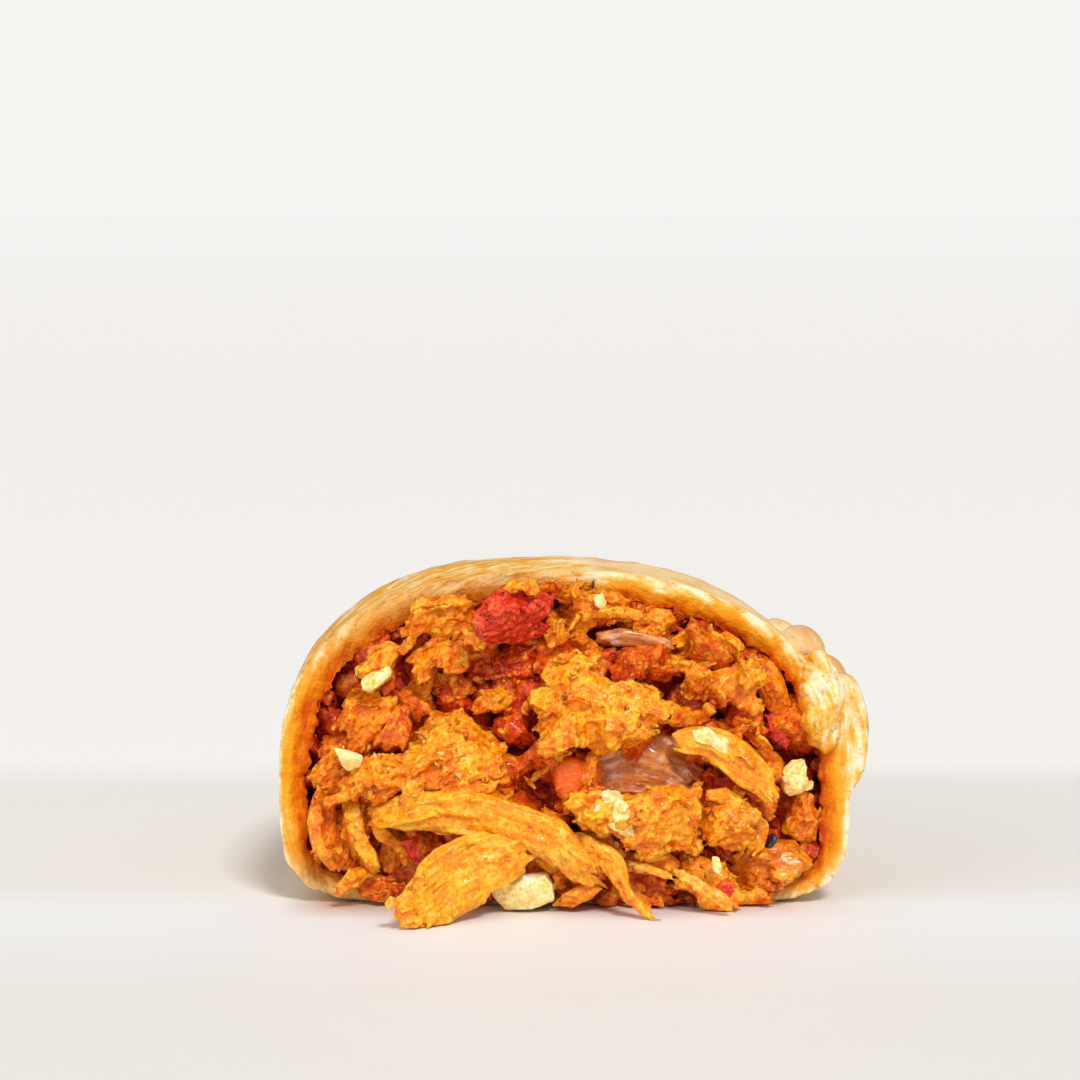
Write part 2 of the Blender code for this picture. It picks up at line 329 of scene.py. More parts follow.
@functools.lru_cache
def lump():
    """An uneven lump of radius 1: its points and triangles."""
    bpy.ops.object.select_all(action="DESELECT")
    bpy.ops.mesh.primitive_ico_sphere_add(subdivisions=2, radius=1.0)
    made = bpy.context.object
    bpy.ops.object.mode_set(mode="EDIT")
    bpy.ops.mesh.select_all(action="SELECT")
    bpy.ops.transform.vertex_random(offset=0.25, seed=4)
    bpy.ops.object.mode_set(mode="OBJECT")
    points, triangles = arrays(made)
    discard(made)
    return points, triangles


def stick(target, crowd, size, drawn, grain_angle, seed):
    """Sticks lumps of that many millimetres on the front of a rough shape, drawn out along its grain.

    Crowd is how many there are for each square millimetre of the shape's width and height.
    """
    chance = random.Random(seed)
    points, triangles = arrays(target)
    tree = BVHTree.FromPolygons(points.tolist(), triangles.tolist())
    low, high = points.min(0), points.max(0)
    template, faces = lump()
    all_points, all_triangles, count = [points], [triangles], len(points)
    for _ in range(int(crowd * (high[0] - low[0]) * (high[2] - low[2]) / MM**2)):
        start = Vector((chance.uniform(low[0], high[0]), low[1] - MM, chance.uniform(low[2], high[2])))
        spot, normal, _, _ = tree.ray_cast(start, INTO)
        radius = 0.5 * size * MM * (0.5 + chance.random() ** 2)
        turn = Matrix.Rotation(math.radians(-grain_angle + chance.gauss(0.0, 60.0 / (drawn + 1.0))), 3, "Y")
        tip = Matrix.Rotation(chance.gauss(0.0, 0.35), 3, "Z")
        long = 1.0 + (drawn - 1.0) * chance.random()
        if spot is None:
            continue
        shape = template * (radius * long, radius * chance.uniform(0.6, 1.0), radius * chance.uniform(0.7, 1.0))
        all_points.append(shape @ np.array(turn @ tip).T + np.array(spot + normal * radius * 0.15))
        all_triangles.append(faces + count)
        count += len(template)
    discard(target)
    return from_arrays("lumpy", np.vstack(all_points), np.vstack(all_triangles))


def crumble(target, voxel, facets, grain_angle, fibre, grit, seed, drawn=3.6):
    """Fuses a rough shape, cuts facets on its front and gives it the crumbly, fibrous skin of cooked meat.

    Fibre and grit are depths in millimetres: of the lines along the grain, which are that much drawn out,
    and of the crumbs. It gives back the smooth shape's points and normals, and the flow that a Bit keeps.
    """
    chance = random.Random(seed)
    remesh(target, voxel * MM)
    soften(target, 1)
    apply_all(target)
    points, _ = arrays(target)
    middle = points.mean(0)
    for _ in range(facets):
        way = np.array((chance.uniform(-0.9, 0.9), -1.0, chance.uniform(-0.8, 0.9)))
        way /= np.linalg.norm(way)
        out = (points - middle) @ way
        limit = out.max() * chance.uniform(0.55, 0.85)
        points -= np.outer(np.clip(out - limit, 0.0, None) * 0.85, way)
    set_points(target, points)
    smooth_points, smooth_normals = points.copy(), normals_of(target)
    stretch = Matrix.Diagonal((1.0 / drawn, 1.0, 1.0, 1.0))
    along = stretch @ Matrix.Rotation(math.radians(grain_angle), 4, "Y") @ Matrix.Translation(-Vector(middle))
    shift = Matrix.Translation((0.031 * seed, 0.017 * seed, 0.0))
    target.data.transform(shift @ along)
    clouds(target, 0.9 * MM, 0.7 * fibre * MM, 1, hard=drawn < 5.0)
    apply_all(target)
    target.data.transform((shift @ along).inverted())
    clouds(target, 2.8 * MM, 1.2 * grit * MM, 1)
    clouds(target, 1.3 * MM, 0.4 * grit * MM, 1, hard=True)
    granules(target, 0.8 * MM, 0.4 * grit * MM)
    clouds(target, 0.5 * MM, 0.4 * grit * MM, 1)
    apply_all(target)
    drawn_out = np.array(shift @ along)
    return smooth_points, smooth_normals, points @ drawn_out[:3, :3].T + drawn_out[:3, 3]


# How a pillow swells: its back's share of the outline, then, for each step forwards, the share of the depth that
# it takes and how much wider or narrower it gets.
PILLOW_BACK = 0.75
PILLOW_STEPS = ((0.3, 1.25), (0.25, 1.06), (0.25, 0.93), (0.15, 0.8), (0.05, 0.55))


def pillow(outline, front, depth):
    """A rough solid of that outline, in millimetres on the cut, swollen between its front and its back."""
    middle_x = sum(x for x, _ in outline) / len(outline)
    middle_z = sum(z for _, z in outline) / len(outline)
    bpy.ops.object.select_all(action="DESELECT")
    bpy.ops.mesh.primitive_circle_add(vertices=len(outline), fill_type="NGON")
    made = bpy.context.object
    for vertex, (x, z) in zip(made.data.vertices, outline):
        back_x, back_z = middle_x + PILLOW_BACK * (x - middle_x), middle_z + PILLOW_BACK * (z - middle_z)
        vertex.co = place(back_x, front + depth, back_z)
    bpy.ops.object.mode_set(mode="EDIT")
    bpy.ops.mesh.select_all(action="SELECT")
    for thrust, swell in PILLOW_STEPS:
        bpy.ops.mesh.extrude_region_move(TRANSFORM_OT_translate={"value": (0.0, -thrust * depth * MM, 0.0)})
        bpy.ops.transform.resize(value=(swell, 1.0, swell))
    bpy.ops.mesh.select_all(action="SELECT")
    bpy.ops.mesh.normals_make_consistent(inside=False)
    bpy.ops.object.mode_set(mode="OBJECT")
    return made


def torn_block(outline, front, depth, seed, grain_angle, voxel, facets, fibre, grit):
    """A block of meat of that outline, with lumps, crumbs and fibres stuck on its front."""
    body = pillow(outline, front, depth)
    body = stick(body, 0.14 * grit, 3.6, 1.5, grain_angle, seed + 2)
    body = stick(body, 0.8 * grit, 1.7, 1.6, grain_angle, seed)
    body = stick(body, 1.2 * fibre, 0.8, 5.0, grain_angle, seed + 1)
    return Bit(body, *crumble(body, voxel, facets, grain_angle, fibre, grit, seed))


def onion_layer(outline, front, depth, seed, grain_angle, arch=0.05):
    """A limp layer of cooked onion with long, soft ridges that are arched by so much per square millimetre."""
    middle = sum(x for x, _ in outline) / len(outline)
    body = pillow([(x, z + arch * (x - middle) ** 2) for x, z in outline], front, depth)
    finish = crumble(body, 0.25, 2, grain_angle, 0.8, 0.2, seed, 5.0)
    soften(body, 2)
    apply_all(body)
    bit = Bit(body, *finish)
    bit.points[:, 2] -= arch * (bit.points[:, 0] / MM - middle) ** 2 * MM
    return bit


ROUTE_STEPS = 40  # how finely a route is followed


def along_curve(points, share):
    """A point of the smooth curve through the points, by Catmull-Rom."""
    spans = len(points) - 1
    spot = min(max(share, 0.0) * spans, spans - 1e-9)
    i = int(spot)
    t = spot - i
    p1, p2 = points[i], points[i + 1]
    p0 = points[i - 1] if i else p1 * 2 - p2
    p3 = points[i + 2] if i + 2 < len(points) else p2 * 2 - p1
    cubic = (p0 * -1 + p1 * 3 - p2 * 3 + p3) * t**3
    return (p1 * 2 + (p2 - p0) * t + (p0 * 2 - p1 * 5 + p2 * 4 - p3) * t * t + cubic) * 0.5


class Ground:
    """What crumbs lie on, seen from in front of the cut."""

    def __init__(self, pieces):
        bpy.context.view_layer.update()
        depsgraph = bpy.context.evaluated_depsgraph_get()
        self.trees = [BVHTree.FromObject(piece, depsgraph) for piece in pieces]

    def touch(self, x, z):
        """The frontmost point at a place on the cut, and the normal there."""
        start, nearest = Vector((x, BEFORE_CUT, z)), None
        for tree in self.trees:
            hit = tree.ray_cast(start, INTO)
            if hit[0] and (nearest is None or hit[3] < nearest[3]):
                nearest = hit
        return (nearest[0], nearest[1]) if nearest else (None, None)


def bend(bit, route, length):
    """Bends a bit that lies straight along X, middled on the origin, so that it follows the route."""
    shares = np.linspace(0.0, 1.0, ROUTE_STEPS + 1)
    centres, across, through = [], [], []
    for share in shares:
        step = (along_curve(route, share + 0.02) - along_curve(route, share - 0.02)).normalized()
        side = step.cross(INTO).normalized()
        centres.append(along_curve(route, share) * MM)
        across.append(side)
        through.append(side.cross(step))
    centres, across, through = np.array(centres), np.array(across), np.array(through)
    share = bit.points[:, 0] / (length * MM) + 0.5
    beyond = (share - np.clip(share, 0.0, 1.0)) * length * MM
    bent = np.zeros_like(bit.points)
    first, last = (route[1] - route[0]).normalized(), (route[-1] - route[-2]).normalized()
    for axis in range(3):
        column = np.interp(share, shares, centres[:, axis])
        column += np.interp(share, shares, across[:, axis]) * bit.points[:, 2]
        column += np.interp(share, shares, through[:, axis]) * bit.points[:, 1]
        column += np.where(beyond > 0, beyond * last[axis], beyond * first[axis])
        bent[:, axis] = column
    bit.points = bent
    return bit


def ribbon_outline(length, widths, ragged, seed):
    """The outline of a shred that lies straight along X, with torn ends."""
    chance = random.Random(seed)

    def side_point(x, half_width):
        """A point of the upper or the lower side, a little out of line."""
        return x + chance.uniform(-0.3, 0.3), half_width * chance.uniform(0.85, 1.12)

    def torn_end(side, half_width, heights):
        """The tips that the shred is torn into at its right or left end."""
        tips = [0.5 * length + chance.uniform(-0.2, 1.0) * ragged for _ in heights]
        return [(side * tip, half_width * height) for tip, height in zip(tips, heights)]

    upper, lower = [], []
    spots = 9
    for i in range(spots):
        share = i / (spots - 1)
        width = along_curve([Vector((w, 0.0, 0.0)) for w in widths], share).x
        x = (share - 0.5) * length
        upper.append(side_point(x, 0.5 * width))
        lower.append(side_point(x, -0.5 * width))
    right = torn_end(1, 0.5 * widths[-1], (0.6, 0.2, -0.2, -0.6))
    left = torn_end(-1, 0.5 * widths[0], (-0.6, -0.2, 0.2, 0.6))
    return upper + right + lower[::-1] + left


def route_length(route):
    """The length of the smooth curve through a route's places."""
    steps = [along_curve(route, i / ROUTE_STEPS) for i in range(ROUTE_STEPS + 1)]
    return sum((far - near).length for near, far in zip(steps, steps[1:]))


def torn_shred(route, widths, thickness, seed, voxel, fibre, grit, ragged=1.2, drawn=3.6):
    """A flat shred of meat along a route, in millimetres from the origin."""
    route = [Vector(point) for point in route]
    length = route_length(route)
    body = pillow(ribbon_outline(length, widths, ragged, seed), -0.5 * thickness, thickness)
    body.data.transform(Matrix.Translation((0.0, -CUT_Y, 0.0)))
    body = stick(body, 2.0 / drawn, 0.7, 1.5 * drawn, 0.0, seed)
    body = stick(body, 0.7 * grit, 1.2, 1.8, 0.0, seed + 1)
    return bend(Bit(body, *crumble(body, voxel, 2, 0.0, fibre, grit, seed, drawn)), route, length)


def shred_at_cut(*terms, **skin):
    """A shred whose route is given in millimetres on the cut."""
    bit = torn_shred(*terms, **skin)
    bit.points[:, 1] += CUT_Y
    return bit


def straight(length, bend_up, bend_out):
    """A gently bowed route along X, middled on the origin, in millimetres."""
    shares = [i / 4 - 0.5 for i in range(5)]
    bows = [share * share - 0.08 for share in shares]
    return [(share * length, bend_out * bow * length, bend_up * bow * length) for share, bow in zip(shares, bows)]


def uneven_outline(width, height, seed, corners=10):
    """A closed outline of random corners round the origin."""
    chance = random.Random(seed)
    outline = []
    for i in range(corners):
        angle = math.tau * (i + chance.uniform(-0.3, 0.3)) / corners
        reach = chance.uniform(0.72, 1.12)
        outline.append((0.5 * width * reach * math.cos(angle), 0.5 * height * reach * math.sin(angle)))
    return outline


def centred(bit):
    """Moves a bit so that the mean of its points is the origin."""
    bit.points -= bit.points.mean(0)
    return bit


def block_kit(voxel, grit=0.6):
    """Crumbly blocks of several proportions, to be laid many times."""
    plan = ((7.5, 5.5, 4.5), (6.0, 5.0, 4.5), (8.5, 4.2, 3.6), (5.0, 4.5, 4.0), (6.5, 3.6, 3.4), (4.2, 3.6, 3.2))
    kit = []
    for k, (width, height, depth) in enumerate(plan):
        for twin in range(2):
            seed = 31 * k + 7 * twin + 3
            outline = uneven_outline(width, height, seed)
            block = torn_block(outline, 0.0, depth, seed, 0.0, voxel, facets=3, fibre=0.4, grit=grit)
            kit.append(centred(block))
    return kit


def shred_kit():
    """Shreds of several lengths, to be laid many times."""
    plan = (
        ((12.0, 0.35, 0.2), (1.8, 3.0, 3.2, 2.8, 1.6), 1.8),
        ((9.0, -0.4, 0.3), (1.8, 2.8, 3.4, 2.8, 1.6), 1.8),
        ((7.0, 0.3, -0.3), (2.0, 3.2, 3.6, 2.8, 1.6), 1.7),
        ((10.0, 0.7, 0.4), (1.0, 1.6, 1.9, 1.6, 1.0), 1.3),
        ((7.5, -0.8, 0.5), (1.0, 1.6, 1.7, 1.4, 0.9), 1.2),
    )
    kit = []
    for k, (bow, widths, thickness) in enumerate(plan):
        for twin in range(2):
            seed = 53 * k + 11 * twin + 5
            shred = torn_shred(straight(*bow), widths, thickness, seed, voxel=0.3, fibre=0.35, grit=0.4)
            kit.append(centred(shred))
    return kit


def keep_inside(points):
    """Presses points behind the cut inside the dough's wall, and all of them above the surface below."""
    away_x, away_z = points[:, 0] - HEART.x, points[:, 2] - HEART.z
    bearing, reach, depth = polar(points)

    # Before the cut, bits may hang out over the dough, and well behind it they may sink a little into it.
    before = (1.0 - np.clip((depth + 0.9 * MM) / (0.8 * MM), 0.0, 1.0)) * 3.0 * MM
    sunk = np.clip((depth - 1.0 * MM) / (2.0 * MM), 0.0, 1.0) * 0.8 * MM
    limit = np.interp(bearing, BEARINGS, INNER_REACH) + edge_push(bearing, depth) + sunk + before

    squeeze = np.minimum(1.0, limit / reach)
    points[:, 0] = HEART.x + away_x * squeeze
    points[:, 2] = np.maximum(HEART.z + away_z * squeeze, 0.15 * MM)
    return points


class Heap:
    """Many laid bits that are joined into one piece, each with a tint of its own."""

    def __init__(self, name):
        self.name, self.points, self.triangles, self.flows = name, [], [], []
        self.tints, self.reliefs, self.count = [], [], 0

    def add(self, bit, points, tint):
        """Adds a bit whose points have been moved."""
        self.pile(points, bit.triangles, bit.relief, tint, bit.flow)

    def take(self, bit, tint):
        """Adds a bit where it is."""
        self.add(bit, bit.points.copy(), tint)

    def pile(self, points, triangles, relief, tint, flow):
        """Adds points and triangles with what their material reads."""
        self.triangles.append(triangles + self.count)
        self.flows.append(flow)
        self.points.append(keep_inside(points))
        self.tints.append(np.full(len(points), tint))
        self.reliefs.append(np.broadcast_to(relief, len(points)))
        self.count += len(points)

    def lay(self, bit, spot, turn, tip, roll, size, tint):
        """Lays a bit: rolled round its length, tipped out of the cut and turned in it, in degrees."""
        rotation = (
            Matrix.Rotation(math.radians(-turn), 3, "Y")
            @ Matrix.Rotation(math.radians(tip), 3, "Z")
            @ Matrix.Rotation(math.radians(roll), 3, "X")
        )
        self.add(bit, bit.laid(spot, rotation, size), tint)

    def join(self):
        """One object of all that was added. What faces upwards counts as standing out further, so that its colour is
        painted lighter, as if lit from above.
        """
        made = from_arrays(self.name, np.vstack(self.points), np.vstack(self.triangles))
        write_value(made, "tint", np.concatenate(self.tints))
        write_vector(made, "flow", np.vstack(self.flows))
        # Painted light: faces turned upwards count as standing out further, so that they are coloured lighter.
        write_value(made, "relief", np.concatenate(self.reliefs) + 0.3 * normals_of(made)[:, 2])
        return made


def in_place(name, bit, tint):
    """One bit as a piece of its own."""
    heap = Heap(name)
    heap.take(bit, tint)
    return heap.join()


# ---------------------------------------------------------------------------------------------
# Materials


def srgb(red, green, blue):
    """A colour as the eye sees it, each part from 0 to 255, as linear light."""

    def linear(part):
        """One part of the colour."""
        part /= 255.0
        return part / 12.92 if part <= 0.04045 else ((part + 0.055) / 1.055) ** 2.4

    return (linear(red), linear(green), linear(blue))


class Look:
    """A shorthand for building a material's nodes."""

    def __init__(self, name):
        self.material = bpy.data.materials.new(name)
        self.material.use_nodes = True
        self.tree = self.material.node_tree
        self.shader = self.tree.nodes["Principled BSDF"]
        self.where = self.tree.nodes.new("ShaderNodeTexCoord").outputs["Object"]

    def link(self, source, socket):
        """Links an output to an input."""
        self.tree.links.new(source, socket)

    def feed(self, socket, value):
        """Gives an input a link, a colour or a number."""
        if isinstance(value, bpy.types.NodeSocket):
            self.link(value, socket)
        elif isinstance(value, tuple) and len(value) == 3 and socket.type == "RGBA":
            socket.default_value = (*value, 1.0)
        else:
            socket.default_value = value

    def noise(self, grain, detail, roughness=0.55, along=None):
        """Cloudy noise with features of that many millimetres, in the object's or in stored coordinates."""
        made = self.tree.nodes.new("ShaderNodeTexNoise")
        self.link(self.stored(along, "Vector") if along else self.where, made.inputs["Vector"])
        made.inputs["Scale"].default_value = 1.0 / (grain * MM)
        made.inputs["Detail"].default_value = detail
        made.inputs["Roughness"].default_value = roughness
        return made.outputs["Fac"]

    def fit(self, value, low, high, to_low=0.0, to_high=1.0):
        """Stretches the range from low to high over 0 to 1, or over what is given."""
        made = self.tree.nodes.new("ShaderNodeMapRange")
        self.link(value, made.inputs["Value"])
        for name, number in (("From Min", low), ("From Max", high), ("To Min", to_low), ("To Max", to_high)):
            made.inputs[name].default_value = number
        return made.outputs["Result"]

    def maths(self, operation, one, other, clamp):
        """Two values put together by that operation, and held between 0 and 1 when clamped."""
        made = self.tree.nodes.new("ShaderNodeMath")
        made.operation = operation
        self.feed(made.inputs[0], one)
        self.feed(made.inputs[1], other)
        made.use_clamp = clamp
        return made.outputs["Value"]

    def add(self, one, other, clamp=True):
        """The sum of two values."""
        return self.maths("ADD", one, other, clamp)

    def times(self, one, other):
        """The product of two values, held between 0 and 1."""
        return self.maths("MULTIPLY", one, other, True)

    def mix(self, share, one, other):
        """One colour, and the other by that share."""
        made = self.tree.nodes.new("ShaderNodeMix")
        made.data_type = "RGBA"
        self.feed(made.inputs["Factor"], share)
        self.feed(made.inputs["A"], one)
        self.feed(made.inputs["B"], other)
        return made.outputs["Result"]

    def ramp(self, value, *stops):
        """A run of colours, each stop being (place, colour)."""
        made = self.tree.nodes.new("ShaderNodeValToRGB")
        self.link(value, made.inputs["Fac"])
        elements = made.color_ramp.elements
        while len(elements) < len(stops):
            elements.new(0.5)
        for element, (spot, colour) in zip(elements, stops):
            element.position = spot
            element.color = (*colour, 1.0)
        return made.outputs["Color"]

    def stored(self, name, output="Fac"):
        """What was stored by that name for each point of the mesh."""
        made = self.tree.nodes.new("ShaderNodeAttribute")
        made.attribute_name = name
        return made.outputs[output]

    def pointiness(self):
        """Over a half on ridges, and under it in creases."""
        return self.tree.nodes.new("ShaderNodeNewGeometry").outputs["Pointiness"]

    def axis(self, letter):
        """The object's own x, y or z."""
        made = self.tree.nodes.new("ShaderNodeSeparateXYZ")
        self.link(self.where, made.inputs[0])
        return made.outputs[letter]

    def bump(self, *layers):
        """Stacks bumps, each (height value, height in millimetres)."""
        normal = None
        for height, depth in layers:
            made = self.tree.nodes.new("ShaderNodeBump")
            made.inputs["Distance"].default_value = depth * MM
            made.inputs["Strength"].default_value = 1.0
            self.link(height, made.inputs["Height"])
            if normal:
                self.link(normal, made.inputs["Normal"])
            normal = made.outputs["Normal"]
        self.link(normal, self.shader.inputs["Normal"])

    def finish(
        self, colour, roughness, specular=0.5, coat=0.0, coat_roughness=0.2, softness=0.0, spread=(1.0, 0.4, 0.1)
    ):
        """The finished material. Softness lets light into it, which spreads by those shares of red, green and blue."""
        inputs = self.shader.inputs
        self.feed(inputs["Base Color"], colour)
        self.feed(inputs["Roughness"], roughness)
        inputs["Specular IOR Level"].default_value = specular
        inputs["Coat Weight"].default_value = coat
        inputs["Coat Roughness"].default_value = coat_roughness
        if softness:
            inputs["Subsurface Weight"].default_value = softness
            inputs["Subsurface Radius"].default_value = spread
            inputs["Subsurface Scale"].default_value = 0.8 * MM
        return self.material


def meat_look(
    name, pale, ripe, deep, dark, gloss=0.4, sauce=srgb(222, 76, 2), grease=srgb(255, 196, 60), rough=0.78
):
    """Saucy meat, with painted light and shade: paler where it stands out and faces up, deeper in its creases, dark
    far behind the cut.

    Sauce and grease are the colours of the spots on it, and rough scales its bumps.
    """
    look = Look(name)
    broad = look.noise(3.5, 3.0)
    crumb = look.noise(0.9, 3.0, 0.6)
    grain = look.noise(0.42, 2.0, 0.6)
    sand = look.noise(0.2, 1.0)
    strand = look.noise(0.45, 2.0, 0.55, along="flow")
    stain = look.noise(1.9, 4.0, 0.65)
    fat = look.noise(0.9, 3.0, 0.65)

    # The brightness of each bit sets its colour, under noise of five sizes, and painted light and shade follow how far
    # it stands out and faces up.
    mottle = look.fit(look.stored("tint"), 0.0, 1.0, -0.22, 0.2)
    for layer, depth in ((broad, 0.2), (crumb, 0.17), (grain, 0.2), (strand, 0.17), (sand, 0.1)):
        mottle = look.add(mottle, look.fit(layer, 0.3, 0.7, -depth, depth), clamp=False)
    # Painted light and shade: what stands out or faces up is lighter, what lies low is darker.
    mottle = look.add(mottle, look.fit(look.stored("relief"), -0.6, 0.6, -0.22, 0.22), clamp=False)
    body = look.ramp(look.add(mottle, 0.52), (0.0, dark), (0.25, deep), (0.58, ripe), (0.95, pale))

    # Spots of sauce and grease, then painted shade in the creases, a painted highlight on the ridges and painted shade
    # on what lies deep.
    redder = look.mix(look.fit(stain, 0.5, 0.66, 0.0, 0.65), body, sauce)
    fatty = look.mix(look.fit(fat, 0.59, 0.7, 0.0, 0.7), redder, grease)
    # Painted shade: creases are mixed towards the deep shade.
    crease_shade = look.fit(look.pointiness(), 0.43, 0.5)
    colour = look.mix(crease_shade, look.mix(0.45, fatty, deep), fatty)
    # Painted highlight: ridges are mixed towards the pale shade.
    ridge_highlight = look.fit(look.pointiness(), 0.52, 0.6, 0.0, 0.5)
    colour = look.mix(ridge_highlight, colour, pale)
    # Painted shade: the further behind the cut, the more the colour is mixed towards the dark shade.
    behind = look.fit(look.axis("Y"), CUT_Y - 0.4 * MM, CUT_Y + 3.2 * MM, 0.0, 0.85)
    colour = look.mix(behind, colour, dark)

    look.bump((sand, 0.07 * rough), (grain, 0.2 * rough), (strand, 0.14 * rough), (crumb, 0.18 * rough))
    roughness = look.fit(crumb, 0.35, 0.65, gloss - 0.18, gloss + 0.2)
    return look.finish(colour, roughness, specular=0.25, coat=0.22, coat_roughness=0.1, softness=SOFTNESS)


# What baking and sauce make of the dough beyond its four shades, with painted shade in the rope's creases. A run's
# stops are by how deep sauce has soaked, and the raw run is also painted shadow at the upper left.
BROWNED, BROWNED_RIDGE, ROPE_CREASE_SHADE = srgb(212, 140, 74), srgb(206, 146, 82), srgb(140, 74, 30)
SOAKED_PORE = srgb(190, 92, 24)
SHALLOW_STAIN = ((0.02, srgb(248, 230, 192)), (0.14, srgb(246, 204, 122)), (0.3, srgb(246, 170, 40)))
DEEP_STAIN = ((0.82, srgb(216, 96, 4)), (1.0, srgb(196, 60, 2)))
# The raw run greys the dough; at the upper left this grey is painted shadow.
RAW_AND_SHADOWED_STAIN = (
    (0.02, srgb(234, 194, 130)), (0.25, srgb(220, 164, 86)), (0.6, srgb(220, 138, 38)), (0.9, srgb(204, 86, 8)),
)


def dough_look(pale, golden, toast, sauce):
    """Pale baked dough: toasted in patches outside, stained by sauce on the inner side of the cut."""
    look = Look("dough")
    broad = look.noise(11.0, 3.0)
    mottle = look.noise(2.6, 4.0, 0.6)
    blotch = look.noise(1.2, 4.0, 0.7)
    speck = look.noise(0.9, 2.0)
    flour = look.noise(0.35, 2.0)
    streak = look.noise(4.0, 3.0, 0.6, along="round")

    # Outside: baked in broad patches, browner on top, along the rope and on each ridge, and darker in the rope's
    # creases as painted shade.
    blend = look.add(look.fit(broad, 0.35, 0.7, 0.0, 0.6), look.fit(mottle, 0.3, 0.7, 0.0, 0.4))
    outside = look.ramp(blend, (0.2, pale), (0.65, golden), (1.0, toast))
    outside = look.mix(look.fit(speck, 0.66, 0.74, 0.0, 0.35), outside, toast)
    outside = look.mix(look.fit(look.axis("Z"), 20 * MM, 36 * MM, 0.0, 0.25), outside, golden)
    browned = look.times(look.stored("toast"), look.fit(blotch, 0.3, 0.7, 0.3, 1.1))
    outside = look.mix(look.fit(browned, 0.15, 0.95, 0.0, 0.7), outside, BROWNED)
    outside = look.mix(look.fit(look.pointiness(), 0.5, 0.55, 0.0, 0.55), outside, BROWNED_RIDGE)
    # Painted shade: the toasted rope is darkened in its creases.
    rope_crease_shade = look.times(look.fit(look.pointiness(), 0.49, 0.44), look.stored("toast"))
    outside = look.mix(rope_crease_shade, outside, ROPE_CREASE_SHADE)

    # The cut: stained by as much sauce as it has soaked up, in streaks, and greyer where it is raw, a greyness that at
    # the upper left is painted shadow.
    uneven = look.fit(mottle, 0.3, 0.7, -0.12, 0.12)
    for layer, depth in ((streak, 0.18), (blotch, 0.1)):
        uneven = look.add(uneven, look.fit(layer, 0.3, 0.7, -depth, depth), clamp=False)
    soak = look.add(look.stored("soak"), uneven)
    stained = look.ramp(soak, *SHALLOW_STAIN, (0.6, sauce), *DEEP_STAIN)
    stained = look.mix(look.stored("raw"), stained, look.ramp(soak, *RAW_AND_SHADOWED_STAIN))
    pores = look.times(look.fit(speck, 0.58, 0.7), look.fit(flour, 0.35, 0.65, 0.1, 0.55))
    stained = look.mix(pores, stained, SOAKED_PORE)
    colour = look.mix(look.fit(look.stored("soak"), 0.0, 0.05), outside, stained)

    look.bump((flour, 0.12), (speck, 0.12), (blotch, 0.2), (mottle, 0.14), (streak, 0.16))
    roughness = look.fit(soak, 0.1, 0.6, 0.65, 0.4)
    return look.finish(colour, roughness, specular=0.16, softness=0.12, spread=(1.0, 0.6, 0.3))


# The colour of the painted sheen on wet vegetables.
PAINTED_SHEEN_TINT = srgb(240, 212, 198)


def flesh_look(name, light, dark, gloss, coat, fine_depth=0.05, painted_sheen=0.0):
    """Wet vegetable: two tones in soft patches under a glossy coat, the darker one filling its creases as painted
    shade, and pale patches over them as a painted sheen of that strength.
    """
    look = Look(name)
    broad = look.noise(1.6, 3.0)
    fine = look.noise(0.4, 2.0)
    strand = look.noise(1.12, 2.0, 0.5, along="flow")
    wrinkle = look.noise(0.48, 2.0, 0.5, along="flow")

    uneven = look.add(look.pointiness(), look.fit(strand, 0.3, 0.7, -0.05, 0.05), clamp=False)
    # Painted shade: the darker tone fills the creases.
    crease_shade = look.fit(uneven, 0.45, 0.53)
    colour = look.mix(look.fit(broad, 0.35, 0.65), light, dark)
    colour = look.mix(crease_shade, dark, colour)
    # Painted sheen: pale patches along the wrinkles stand in for highlights.
    sheen_patches = look.times(look.fit(look.noise(2.2, 4.0, 0.7), 0.5, 0.64), look.fit(wrinkle, 0.42, 0.6))
    colour = look.mix(look.times(sheen_patches, painted_sheen), colour, PAINTED_SHEEN_TINT)

    look.bump((fine, fine_depth), (wrinkle, 0.16), (strand, 0.45), (broad, 0.3))
    roughness = look.fit(fine, 0.3, 0.7, gloss - 0.05, gloss + 0.15)
    return look.finish(colour, roughness, specular=0.3, coat=coat, coat_roughness=0.17, softness=0.1)


